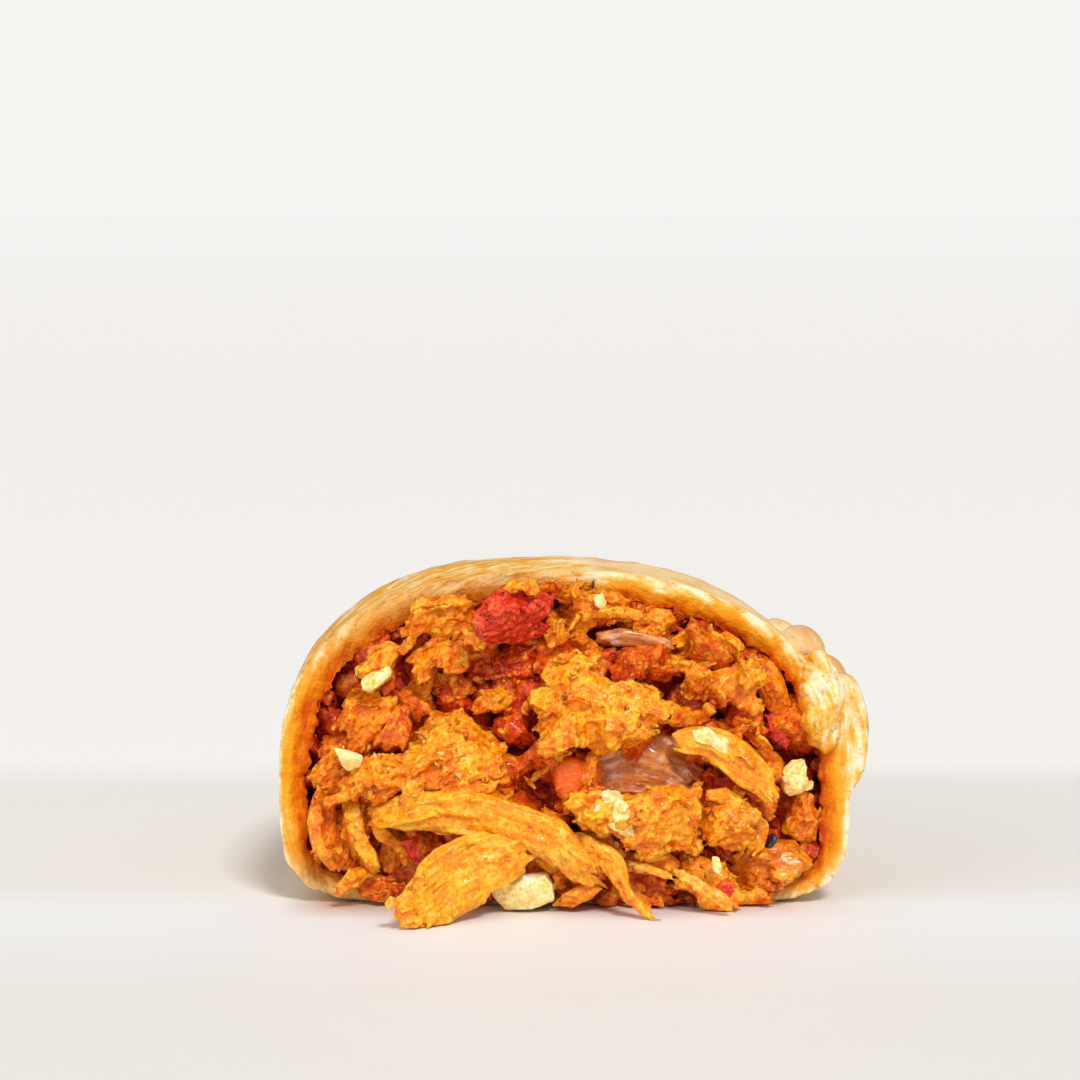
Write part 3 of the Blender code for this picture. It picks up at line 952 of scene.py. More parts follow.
# The colours that the user may change. The dough's are pale, golden, toasted and stained by sauce.
SHADES = ("pale", "ripe", "deep", "dark")
PALETTES = {
    "dough": (srgb(248, 220, 168), srgb(236, 186, 116), srgb(186, 112, 50), srgb(236, 140, 10)),
    # The hollows' shades are the meat's colours darkened as painted shade, for the core, the deepest heap and the dark
    # tomato.
    "hollows": (srgb(240, 122, 20), srgb(214, 78, 4), srgb(184, 42, 0), srgb(146, 14, 0)),
    "rim": (srgb(246, 144, 36), srgb(228, 94, 8), srgb(202, 50, 2), srgb(170, 22, 0)),
    "heap": (srgb(244, 164, 30), srgb(226, 118, 6), srgb(204, 72, 0), srgb(158, 26, 0)),
    "chunks": (srgb(255, 198, 50), srgb(246, 150, 10), srgb(226, 104, 2), srgb(186, 50, 0)),
    "strips": (srgb(255, 202, 64), srgb(244, 160, 18), srgb(232, 122, 6), srgb(200, 70, 2)),
    "yolk": (srgb(255, 208, 100), srgb(255, 178, 50), srgb(250, 142, 20), srgb(230, 104, 8)),
    "egg": (srgb(255, 246, 206), srgb(255, 234, 160), srgb(255, 204, 92), srgb(244, 160, 44)),
    "tomato": (srgb(246, 116, 70), srgb(226, 62, 26), srgb(194, 26, 6), srgb(140, 8, 0)),
    "onion": (srgb(238, 160, 86), srgb(178, 98, 40)),
    "jelly": (srgb(255, 168, 30), srgb(216, 104, 0)),
    "pepper": (srgb(250, 134, 28), srgb(224, 82, 4)),
    "olive": (srgb(76, 60, 66), srgb(28, 20, 26)),
}


# ---------------------------------------------------------------------------------------------
# What lies where in the cut, in millimetres

BLOCK_VOXEL = 0.27  # how fine the skin of the blocks of chicken is, in millimetres

# The chicken that has a CAD solid: angle of its grain in degrees, depth of its fibres and of its crumbs,
# how bright it is, and its outline on the cut.
CHICKEN_BLOCKS = {
    "chicken_centre": (-8, 0.25, 0.8, 0.9, (
        (-5.1, 22.7), (-3.8, 23.7), (-1.5, 25.0), (-0.3, 25.9), (2.0, 25.8), (4.1, 24.3), (7.2, 24.0), (9.0, 23.0),
        (9.8, 21.4), (8.5, 19.4), (6.9, 17.5), (3.7, 17.1), (0.6, 17.6), (-2.2, 18.2), (-4.7, 19.0), (-3.9, 20.6))),
    "chicken_left": (20, 0.25, 0.85, 0.75, (
        (-20.9, 14.1), (-19.7, 15.5), (-17.3, 15.9), (-16.2, 17.6), (-16.6, 19.0), (-14.8, 21.5), (-12.0, 21.1),
        (-10.6, 20.1), (-8.5, 19.0), (-7.1, 17.5), (-7.3, 15.5), (-7.8, 13.6), (-6.0, 12.0), (-7.2, 11.3),
        (-8.9, 12.7), (-11.3, 12.2), (-13.4, 13.3), (-15.5, 12.3), (-18.3, 13.0), (-20.1, 12.7))),
    "chicken_upper_left": (8, 0.5, 0.3, 0.6, (
        (-18.3, 26.0), (-16.6, 27.4), (-14.1, 27.8), (-12.0, 27.4), (-10.2, 27.0), (-10.6, 26.0), (-13.2, 26.0),
        (-15.5, 24.8), (-16.6, 24.8), (-17.2, 25.6))),
    "chicken_upper_right": (60, 0.3, 0.7, 0.65, (
        (10.4, 22.7), (12.5, 25.0), (14.2, 25.4), (16.3, 25.8), (18.8, 25.4), (19.6, 24.5), (19.1, 22.5),
        (18.9, 21.1), (17.7, 20.5), (16.0, 21.7), (14.9, 21.0), (13.5, 22.5), (11.4, 22.1))),
    "chicken_mid_left": (40, 0.3, 0.7, 0.3, (
        (-24.6, 20.5), (-23.5, 23.0), (-21.0, 23.2), (-19.5, 21.5), (-19.3, 19.0), (-20.6, 16.8), (-22.5, 16.2),
        (-24.2, 17.5))),
    "chicken_low": (0, 0.2, 0.95, 0.8, (
        (-0.5, 10.6), (2.3, 12.4), (4.1, 12.0), (5.8, 12.4), (8.3, 13.4), (11.1, 13.4), (13.2, 12.0), (13.5, 9.9),
        (12.8, 7.5), (10.4, 6.1), (8.3, 5.7), (6.5, 7.1), (4.1, 7.8), (1.6, 8.5), (-0.1, 9.4))),
    "chicken_low_right": (35, 0.45, 0.5, 0.85, (
        (12.1, 9.9), (13.9, 11.7), (16.7, 12.0), (18.4, 11.6), (19.5, 9.9), (18.8, 7.5), (17.4, 5.4), (16.0, 6.1),
        (13.9, 6.8), (12.5, 7.8))),
}

# The shreds that have a CAD solid: the places they run by, their widths, their thickness and brightness.
STRIPS = {
    "chicken_long_strip": (
        ((-22.0, -3.8, 10.6), (-15.0, -6.3, 10.9), (-8.0, -7.0, 10.5), (-2.4, -7.4, 8.2), (1.4, -7.4, 4.2)),
        (3.4, 4.6, 4.4, 4.2, 2.2), 2.6, 0.75,
    ),
    "chicken_flap": (
        ((-5.0, -7.9, 6.4), (-10.4, -8.9, 5.4), (-14.6, -11.6, 2.8), (-18.0, -15.0, 1.0)),
        (3.6, 7.4, 7.2, 3.0), 1.6, 0.8,
    ),
    "chicken_strand": (
        ((1.2, -6.2, 7.6), (3.6, -7.0, 5.7), (5.0, -7.8, 3.3), (6.4, -8.6, 1.7), (7.7, -9.3, 0.6)),
        (1.6, 2.6, 1.5, 1.3, 1.2), 1.2, 0.4,
    ),
    "chicken_right_strip": (
        ((10.8, -5.0, 18.1), (14.6, -4.8, 17.6), (18.6, -4.4, 14.4), (20.8, -4.2, 11.6)),
        (2.4, 4.0, 3.6, 2.0), 2.6, 0.65,
    ),
}

# Smaller pieces: how far behind the cut they start, so less than 0 in front of it, depth, angle of the grain,
# depth of fibres and of crumbs, brightness, outline.
LOOSE_BLOCKS = {
    "upper_left_block": (-1.8, 5.0, 0, 0.2, 0.8, 0.7, (
        (-16.6, 30.8), (-15.5, 32.3), (-13.4, 33.0), (-11.3, 33.3), (-10.3, 32.5), (-10.4, 30.6), (-9.9, 29.1),
        (-10.6, 28.1), (-12.4, 28.4), (-14.1, 27.9), (-15.5, 28.7), (-16.4, 29.5))),
    "cream_lump": (-1.8, 4.5, 40, 0.2, 0.7, 0.8, (
        (-22.5, 24.8), (-21.8, 27.2), (-20.8, 27.8), (-19.2, 27.0), (-19.3, 25.7), (-18.8, 25.0), (-19.2, 23.8),
        (-20.8, 23.1), (-22.1, 23.5))),
    "tomato_top": (-6.4, 3.0, 20, 0.2, 0.8, 0.75, (
        (-7.9, 33.6), (-7.2, 34.8), (-5.4, 35.0), (-4.0, 34.6), (-4.2, 33.8), (-5.6, 34.0), (-6.6, 33.2))),
    "tomato_left": (-6.2, 3.0, 60, 0.2, 0.8, 0.7, (
        (-11.8, 29.9), (-10.4, 30.4), (-9.6, 29.4), (-8.2, 28.9), (-8.4, 27.9), (-10.2, 27.7), (-11.6, 28.5))),
    "tomato_right": (-5.0, 3.4, 40, 0.4, 0.6, 0.8, (
        (-3.4, 29.2), (-3.1, 30.6), (-2.0, 31.2), (-1.0, 30.2), (-0.4, 28.6), (-1.6, 27.8), (-2.8, 28.0))),
    "facet_block": (-1.0, 5.0, 55, 0.35, 0.25, 0.35, (
        (-20.7, 19.0), (-19.0, 21.1), (-17.6, 23.9), (-16.3, 25.2), (-14.8, 23.2), (-15.3, 21.5), (-14.8, 20.1),
        (-16.6, 16.8), (-18.0, 15.8), (-20.1, 16.8), (-20.8, 18.0))),
    "dark_block": (0.2, 5.0, 20, 0.3, 0.6, 0.3, (
        (-15.5, 24.1), (-13.9, 24.8), (-12.0, 25.3), (-10.6, 24.3), (-10.2, 22.7), (-12.0, 22.1), (-13.4, 22.5),
        (-14.8, 22.8))),
    "left_mass": (-2.4, 5.0, 8, 0.5, 0.5, 0.6, (
        (-28.3, 13.6), (-27.4, 15.4), (-25.8, 16.9), (-23.9, 16.7), (-21.3, 15.6), (-20.7, 14.7), (-21.5, 12.7),
        (-24.3, 12.3), (-26.0, 13.1), (-27.7, 12.3))),
    "centre_tail": (-5.4, 2.6, -45, 0.4, 0.3, 0.8, (
        (-5.2, 13.4), (-3.7, 15.5), (-2.5, 16.9), (0.2, 17.6), (0.6, 16.9), (-1.5, 15.5), (-2.9, 14.1),
        (-4.3, 13.6))),
    "top_crumb_a": (-1.8, 4.5, 30, 0.2, 0.8, 0.6, (
        (-8.5, 33.6), (-6.4, 34.3), (-4.3, 34.0), (-2.9, 34.9), (-1.9, 34.0), (-0.5, 33.8), (0.6, 34.6),
        (1.5, 34.2), (0.2, 33.0), (-0.6, 31.6), (-1.9, 32.3), (-2.9, 33.0), (-5.0, 33.2), (-7.1, 32.9))),
    "top_crumb_b": (-1.6, 5.0, 10, 0.3, 0.8, 0.6, (
        (-1.5, 32.7), (0.6, 33.5), (2.7, 33.8), (5.1, 33.2), (6.5, 32.4), (6.2, 30.6), (4.1, 29.5), (2.0, 29.0),
        (0.2, 28.1), (-1.3, 29.5), (-1.9, 31.3))),
    "top_crumb_c": (-1.2, 5.0, 0, 0.3, 0.8, 0.5, (
        (5.8, 31.4), (8.3, 31.9), (10.4, 31.2), (10.7, 29.6), (9.7, 28.1), (7.6, 27.4), (5.5, 28.1), (4.8, 29.9))),
    "wall_strip": (-1.0, 4.0, -70, 0.35, 0.25, 0.4, (
        (19.1, 26.6), (20.9, 26.4), (22.3, 23.9), (23.2, 20.8), (23.0, 18.3), (21.9, 17.6), (20.9, 19.7),
        (19.8, 21.8), (19.1, 24.3))),
    "wedge": (-5.0, 3.6, -30, 0.4, 0.5, 0.85, (
        (10.4, 4.9), (11.8, 6.1), (13.9, 5.7), (16.0, 5.0), (17.7, 1.9), (17.4, 0.6), (15.8, 0.0), (13.5, 0.8),
        (11.4, 2.1))),
    "pale_slices": (-4.4, 2.6, -8, 0.5, 0.3, 0.95, (
        (0.2, 6.8), (2.7, 7.3), (5.5, 6.4), (9.0, 5.7), (10.6, 4.3), (10.0, 3.3), (7.2, 3.6), (4.1, 4.0),
        (1.3, 5.0))),
    "flat_chip": (-6.4, 1.5, 30, 0.3, 0.2, 0.5, (
        (-2.6, 0.3), (-1.5, 2.1), (0.6, 3.2), (2.3, 3.4), (3.2, 2.8), (2.0, 1.5), (-0.1, 0.5), (-1.9, 0.2))),
    "under_strip": (-5.6, 2.4, -30, 0.5, 0.2, 0.95, (
        (-7.8, 7.5), (-5.0, 7.8), (-2.6, 6.8), (-0.8, 5.0), (0.2, 2.9), (-0.8, 2.8), (-2.9, 4.0), (-5.0, 5.7),
        (-7.1, 6.4))),
    "bottom_brown": (-3.2, 3.0, 0, 0.3, 0.6, 0.25, (
        (3.4, 2.2), (5.5, 3.1), (9.0, 2.9), (10.4, 1.5), (9.7, 0.3), (6.5, 0.2), (4.1, 0.6))),
    "left_claw_a": (-1.8, 3.4, 75, 0.5, 0.25, 0.55, (
        (-27.6, 12.0), (-26.2, 12.6), (-25.0, 11.4), (-24.8, 9.0), (-25.4, 6.6), (-24.4, 4.6), (-25.4, 3.8),
        (-26.8, 5.0), (-27.6, 7.4), (-27.9, 9.8))),
    "left_claw_b": (-2.6, 3.4, 68, 0.5, 0.25, 0.75, (
        (-25.0, 11.6), (-23.0, 12.6), (-21.4, 11.0), (-21.2, 8.8), (-22.0, 7.0), (-20.8, 5.0), (-21.8, 3.4),
        (-23.4, 4.4), (-24.6, 6.8), (-24.6, 9.4))),
    "left_claw_c": (-2.0, 3.4, 60, 0.5, 0.25, 0.6, (
        (-21.4, 10.2), (-19.6, 10.0), (-17.9, 8.2), (-17.3, 6.0), (-18.2, 3.6), (-20.2, 2.8), (-20.8, 5.0),
        (-20.2, 6.8), (-21.2, 8.4))),
    "right_low_mass": (-0.6, 4.0, 70, 0.4, 0.6, 0.45, (
        (21.6, 7.4), (22.2, 9.8), (23.0, 11.6), (25.2, 11.4), (26.0, 9.0), (25.6, 6.4), (23.6, 6.0))),
    "foot_bits": (-2.4, 2.6, 0, 0.3, 0.7, 0.5, (
        (15.4, 1.6), (17.6, 2.0), (20.0, 1.7), (21.8, 1.0), (20.6, 0.2), (17.4, 0.2), (15.6, 0.5))),
    "left_low_mass": (0.0, 5.0, 60, 0.5, 0.6, 0.4, (
        (-27.4, 9.9), (-26.0, 12.0), (-23.9, 12.4), (-21.8, 10.6), (-20.4, 8.5), (-19.0, 6.4), (-19.0, 3.6),
        (-21.5, 1.9), (-23.9, 2.9), (-26.0, 4.0), (-27.1, 6.4))),
    "left_bottom": (-1.6, 3.0, 10, 0.3, 0.6, 0.25, (
        (-23.9, 2.2), (-21.5, 3.3), (-18.3, 2.9), (-17.6, 1.2), (-19.0, 0.3), (-22.5, 0.8))),
}

# Shreds laid one by one: how far behind the cut, width, thickness, brightness, and the places they run by.
LOOSE_SHREDS = (
    (-2.6, 1.5, 1.2, 0.6, (-26.6, 12.6), (-27.2, 9.9), (-26.9, 6.8), (-25.4, 4.2)),
    (-3.4, 1.8, 1.3, 0.8, (-23.4, 11.8), (-23.0, 8.5), (-21.6, 6.0), (-21.2, 3.6)),
    (-3.4, 1.4, 1.1, 0.7, (-20.8, 10.8), (-20.4, 8.5), (-18.6, 6.8), (-17.6, 4.6)),
    (-3.6, 1.3, 1.0, 0.8, (-22.5, 13.4), (-24.3, 12.0), (-26.4, 11.3)),
    (-3.0, 1.8, 1.4, 0.5, (-24.9, 1.9), (-22.8, 3.6), (-20.6, 4.2)),
    (-1.4, 1.4, 1.2, 0.6, (10.4, 28.1), (13.2, 29.0), (16.0, 27.8)),
    (-1.8, 1.3, 1.1, 0.6, (10.0, 26.4), (12.5, 25.3), (14.6, 26.0)),
    (-2.4, 1.5, 1.1, 0.9, (9.0, 25.0), (11.1, 25.7), (13.5, 25.3)),
    (-1.0, 1.4, 1.2, 0.5, (15.3, 28.8), (16.7, 27.8), (17.4, 26.0), (16.7, 24.6)),
    (-2.2, 0.9, 0.8, 0.8, (0.6, 34.6), (-0.1, 33.4), (0.6, 31.3), (-0.5, 29.5)),
    (-2.2, 1.2, 1.0, 0.7, (2.0, 30.9), (4.8, 31.3), (7.6, 30.2)),
    (-4.4, 1.5, 1.2, 0.8, (13.5, 12.4), (16.0, 12.0), (17.7, 10.6)),
    (-3.0, 1.4, 1.2, 0.7, (18.8, 9.9), (19.5, 7.8), (18.1, 5.7)),
    (-4.6, 1.6, 1.2, 0.8, (1.3, 8.9), (3.4, 7.5), (5.1, 5.7)),
    (-4.0, 1.3, 1.0, 0.7, (4.1, 7.5), (4.4, 5.0)),
    (-7.0, 0.6, 0.5, 0.9, (-8.5, 8.5), (-6.4, 8.5), (-4.3, 7.5)),
    (-2.0, 2.0, 1.6, 0.4, (-10.6, 20.8), (-8.5, 22.2), (-6.4, 21.8), (-4.6, 20.8)),
    (-1.2, 1.6, 1.3, 0.3, (-9.0, 23.0), (-7.1, 21.1), (-6.0, 18.7)),
    (-2.4, 1.8, 1.4, 0.5, (9.7, 21.1), (12.1, 20.1), (14.2, 20.4)),
    (-2.0, 1.6, 1.2, 0.5, (17.4, 20.1), (18.8, 18.3), (20.5, 16.6)),
)

# The vegetables that have a CAD solid: slot, depth of fibres and of crumbs, facets, outline.
VEGETABLE_NODES = {
    "tomato_chunk": ("tomato", 0.2, 0.6, 11, (
        (-10.9, 30.8), (-9.9, 32.3), (-8.6, 33.0), (-7.6, 34.4), (-5.6, 34.6), (-3.6, 34.0), (-1.7, 33.0),
        (-2.0, 31.6), (-3.4, 30.4), (-3.8, 28.8), (-5.6, 28.0), (-7.6, 28.0), (-9.2, 28.6), (-10.4, 29.6))),
    "onion_slice": ("onion", 0.45, 0.12, 2, (
        (0.2, 14.1), (1.6, 16.4), (4.1, 17.9), (7.2, 18.6), (10.0, 18.1), (13.0, 16.2), (14.2, 14.1), (12.4, 12.2),
        (9.0, 11.2), (6.2, 11.6), (3.4, 11.4), (1.0, 12.0))),
}

# Where the filling falls back into dark hollows: place and reach, in millimetres.
HOLLOWS = (
    (-19.3, 22.0, 1.6), (-14.4, 24.2, 1.3), (-9.2, 21.9, 2.1), (-17.3, 28.7, 1.0), (-25.5, 21.4, 1.8),
    (-20.9, 15.3, 1.0), (-3.6, 12.1, 2.2), (2.6, 7.2, 1.0), (13.2, 13.7, 1.2), (10.4, 21.5, 1.7),
    (13.5, 29.9, 1.2), (20.2, 27.0, 1.4), (23.8, 13.0, 1.4), (24.4, 9.0, 1.4), (-9.3, 1.4, 1.2), (-26.6, 9.0, 1.0),
    (-12.0, 8.6, 1.4), (18.0, 28.2, 1.0),
)

# Broken dice of boiled egg: how far behind the cut they start, depth, depth of their crumbs, facets and outline.
# The first two stand for CAD solids.
EGG_DICE = {
    "egg_front": (-7.7, 5.4, 0.1, 4, (
        (-8.5, 3.9), (-6.5, 4.5), (-5.0, 4.1), (-2.9, 4.3), (-2.2, 3.2), (-2.0, 1.2), (-4.4, 0.3), (-7.3, 0.2),
        (-8.7, 1.8))),
    "egg_right": (-2.9, 3.4, 0.5, 4, (
        (21.6, 13.7), (22.1, 14.8), (22.9, 15.5), (24.2, 15.7), (24.8, 14.8), (24.5, 13.2), (23.7, 11.9), (22.6, 11.7),
        (21.8, 12.6))),
    "egg_left": (-5.6, 1.8, 0.1, 3, (
        (-25.2, 17.4), (-23.6, 17.1), (-22.0, 16.5), (-22.3, 15.3), (-23.7, 14.8), (-24.3, 15.4))),
    "egg_cream": (-4.2, 2.2, 0.15, 2, (
        (-22.4, 24.1), (-21.8, 24.9), (-20.4, 25.3), (-19.2, 25.8), (-18.9, 25.1), (-19.9, 23.8), (-21.3, 22.8),
        (-22.2, 23.1))),
    "egg_wedge": (-6.8, 2.0, 0.35, 3, (
        (12.1, 19.2), (13.7, 19.7), (14.8, 18.9), (16.1, 18.5), (15.9, 16.7), (15.0, 17.0), (13.9, 17.9),
        (12.4, 18.1))),
    "egg_low": (-7.6, 2.4, 0.6, 3, (
        (2.2, 11.8), (3.4, 13.0), (4.6, 12.8), (5.4, 11.8), (6.2, 11.0), (5.4, 9.8), (4.2, 9.4), (3.2, 10.2))),
    "egg_bit": (-7.6, 1.4, 0.1, 2, ((14.2, 6.3), (15.0, 6.2), (15.3, 5.0), (15.0, 4.2), (14.3, 4.8))),
    "egg_high": (-3.2, 1.6, 0.4, 2, ((0.4, 26.9), (1.3, 27.0), (1.6, 26.1), (1.0, 25.5), (0.3, 26.0))),
    "egg_top": (-3.0, 1.6, 0.2, 2, ((1.9, 33.0), (3.0, 33.3), (3.4, 32.3), (2.9, 31.4), (2.1, 31.9))),
}

# Slices of boiled egg: the places they run by, their widths and their thickness.
EGG_SLICES = (
    (((10.6, -6.0, 4.4), (13.0, -6.9, 3.2), (16.2, -7.8, 1.2)), (0.8, 1.4, 1.7), 0.8),
    (((5.6, -5.0, 5.2), (7.6, -5.6, 4.8), (10.0, -5.6, 3.9)), (0.5, 1.2, 0.8), 0.6),
)

# Where crumbs of yolk gather.
EGG_CRUMB_PLACES = (
    (2.5, 11.2), (4.4, 10.8), (3.6, 9.6), (12.4, 11.6), (-7.0, 31.2), (-5.2, 29.6), (-22.0, 15.0), (-24.0, 13.0),
    (-13.0, 31.0), (-13.0, 16.0), (0.6, 29.6), (14.6, 16.2), (13.4, 5.8), (2.0, 22.0), (-5.0, 4.6), (-16.0, 12.0),
)

# Smaller bits of vegetable: look, how far behind the cut they start, depth, depth of fibres and of crumbs, facets
# and outline.
LOOSE_VEGETABLES = {
    # The dark tomato has the hollows' darker shades: a tomato coloured with painted shade.
    "dark_tomato": ("sauce", -2.0, 4.0, 0.3, 0.8, 4, (
        (-9.0, 26.6), (-6.9, 27.6), (-4.6, 28.6), (-2.2, 28.8), (-1.0, 27.4), (0.6, 26.6), (-1.4, 25.2), (-3.0, 24.6),
        (-5.0, 23.6), (-7.0, 22.7), (-8.8, 23.6), (-9.4, 25.0))),
    "right_tomato": ("tomato", -1.3, 3.0, 0.3, 0.7, 3, (
        (19.6, 20.4), (21.2, 21.4), (22.8, 20.2), (23.4, 17.9), (22.6, 16.2), (20.9, 17.2), (20.1, 18.6))),
    "left_pepper": ("tomato", -4.2, 2.6, 0.1, 0.4, 2, (
        (-18.0, 7.4), (-16.6, 8.3), (-14.9, 7.6), (-15.2, 5.6), (-16.8, 4.9), (-17.8, 6.0))),
    "centre_pepper": ("pepper", -6.0, 3.2, 0.0, 0.1, 0, (
        (-2.3, 13.6), (-2.2, 15.3), (-1.2, 16.3), (0.4, 16.4), (1.3, 15.2), (1.1, 13.4), (0.2, 12.0), (-0.8, 11.4),
        (-1.8, 12.2))),
    "onion_end": ("filling", -5.4, 3.0, 0.3, 0.1, 3, (
        (0.8, 16.6), (2.0, 17.4), (3.0, 16.8), (2.6, 14.8), (1.8, 12.8), (2.4, 11.2), (1.0, 10.2), (-0.4, 10.8),
        (-0.5, 12.2), (0.8, 13.8))),
    "olive_bit": ("olive", -1.8, 1.6, 0.0, 0.1, 1, (
        (19.9, 6.0), (20.1, 7.2), (21.0, 7.8), (21.6, 7.2), (20.9, 6.2), (20.3, 5.8))),
    "wedge_skin": ("tomato", -5.6, 1.5, 0.0, 0.1, 1, (
        (14.6, 2.7), (15.4, 3.4), (16.9, 3.2), (17.0, 2.2), (16.0, 1.4), (15.0, 1.8))),
    "onion_strip": ("onion", -2.2, 2.4, 0.4, 0.1, 2, (
        (2.0, 29.0), (4.8, 29.4), (7.6, 29.0), (10.4, 28.1), (10.2, 27.1), (7.2, 26.9), (4.1, 27.4), (2.2, 28.0))),
    "jelly": ("filling", -2.0, 4.0, 0.4, 0.2, 2, (
        (16.0, 5.2), (18.0, 6.6), (20.9, 6.9), (23.4, 6.8), (25.0, 5.2), (24.0, 3.0), (22.0, 1.4), (19.0, 0.9),
        (17.0, 1.6))),
}


# ---------------------------------------------------------------------------------------------
# Settings


def colour_setting(name, description, colour):
    """A colour that the user may change."""
    return bpy.props.FloatVectorProperty(
        name=name, description=description, default=colour, subtype="COLOR", min=0.0, max=1.0
    )


class EmpanadaSettings(bpy.types.PropertyGroup):
    """What a user would change about the half's finish."""

    crust_voxel: bpy.props.FloatProperty(
        name="Crust skin", description="Size of the crust's quads", default=0.6 * MM, unit="LENGTH", precision=5
    )
    spacing: bpy.props.FloatProperty(
        name="Heap spacing", description="Widens or narrows the gaps between heaped pieces", default=1.0
    )
    crumbs: bpy.props.IntProperty(name="Crumbs", description="How many crumbs of meat there are", default=110)


class FoodColours(bpy.types.PropertyGroup):
    """The shades of each food, from where it stands out to its creases, which the meat's materials also use for
    painted light and shade.
    """

    __annotations__ = {
        f"{food}_{shade}": colour_setting(f"{food.capitalize()}, {shade}", f"The {shade} shade of the {food}", colour)
        for food, colours in PALETTES.items() for shade, colour in zip(SHADES, colours)
    }


def palette(context, food):
    """The shades of a food as the user has set them."""
    return [tuple(getattr(context.scene.food_colours, f"{food}_{shade}")) for shade, _ in zip(SHADES, PALETTES[food])]


class StudioSettings(bpy.types.PropertyGroup):
    """The camera, the surface and the lights."""

    distance: bpy.props.FloatProperty(
        name="Camera distance", description="From the lens to the cut", default=0.4, unit="LENGTH"
    )
    pitch: bpy.props.FloatProperty(
        name="Camera pitch", description="How far the camera looks down", default=math.radians(5.0), subtype="ANGLE"
    )
    framed_width: bpy.props.FloatProperty(
        name="Framed width", description="Width of the picture at the cut", default=113.4 * MM, unit="LENGTH"
    )
    world: bpy.props.FloatProperty(name="Surround", description="Light from the white surround", default=0.52)
    backdrop: bpy.props.FloatProperty(name="Backdrop", description="Brightness of the backdrop", default=0.92)
    key: bpy.props.FloatProperty(name="Key light", description="Strength of the light from above", default=2.2)
    fill: bpy.props.FloatProperty(name="Fill light", description="Strength of the light from the left", default=0.6)
    light: colour_setting("Light of the surround", "Colour of the white surround", (1.0, 0.985, 0.965))
    surface: colour_setting("Surface", "Colour of the surface before and beside the half", (0.86, 0.83, 0.79))
    # Colour of the painted light on the surface just before the cut.
    painted_light_strip: colour_setting("Surface at the cut", "Colour of the surface just before the cut", (0.89, 0.90, 0.90))
    # Colour of the painted contact shadow at the foot of the cut.
    foot: colour_setting("Surface at the foot", "Colour that the food throws on the surface", (0.62, 0.44, 0.34))
    behind: colour_setting("Surface behind", "Colour of the surface well behind the half", (0.955, 0.935, 0.908))
    skyline: colour_setting("Surface far off", "Colour that the surface fades to far off", (0.992, 0.985, 0.975))


# The pieces of food made so far, which crumbs may lie on.
FOOD = []


def put(piece, slot, material, *nodes):
    """Gives a piece its material and body, and hides the CAD nodes that it stands for. The slot is not used."""
    FOOD.append(piece)
    piece.data.materials.clear()
    piece.data.materials.append(material)
    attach(piece, "root")
    if nodes:
        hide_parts(*nodes)


# ---------------------------------------------------------------------------------------------
# The pieces


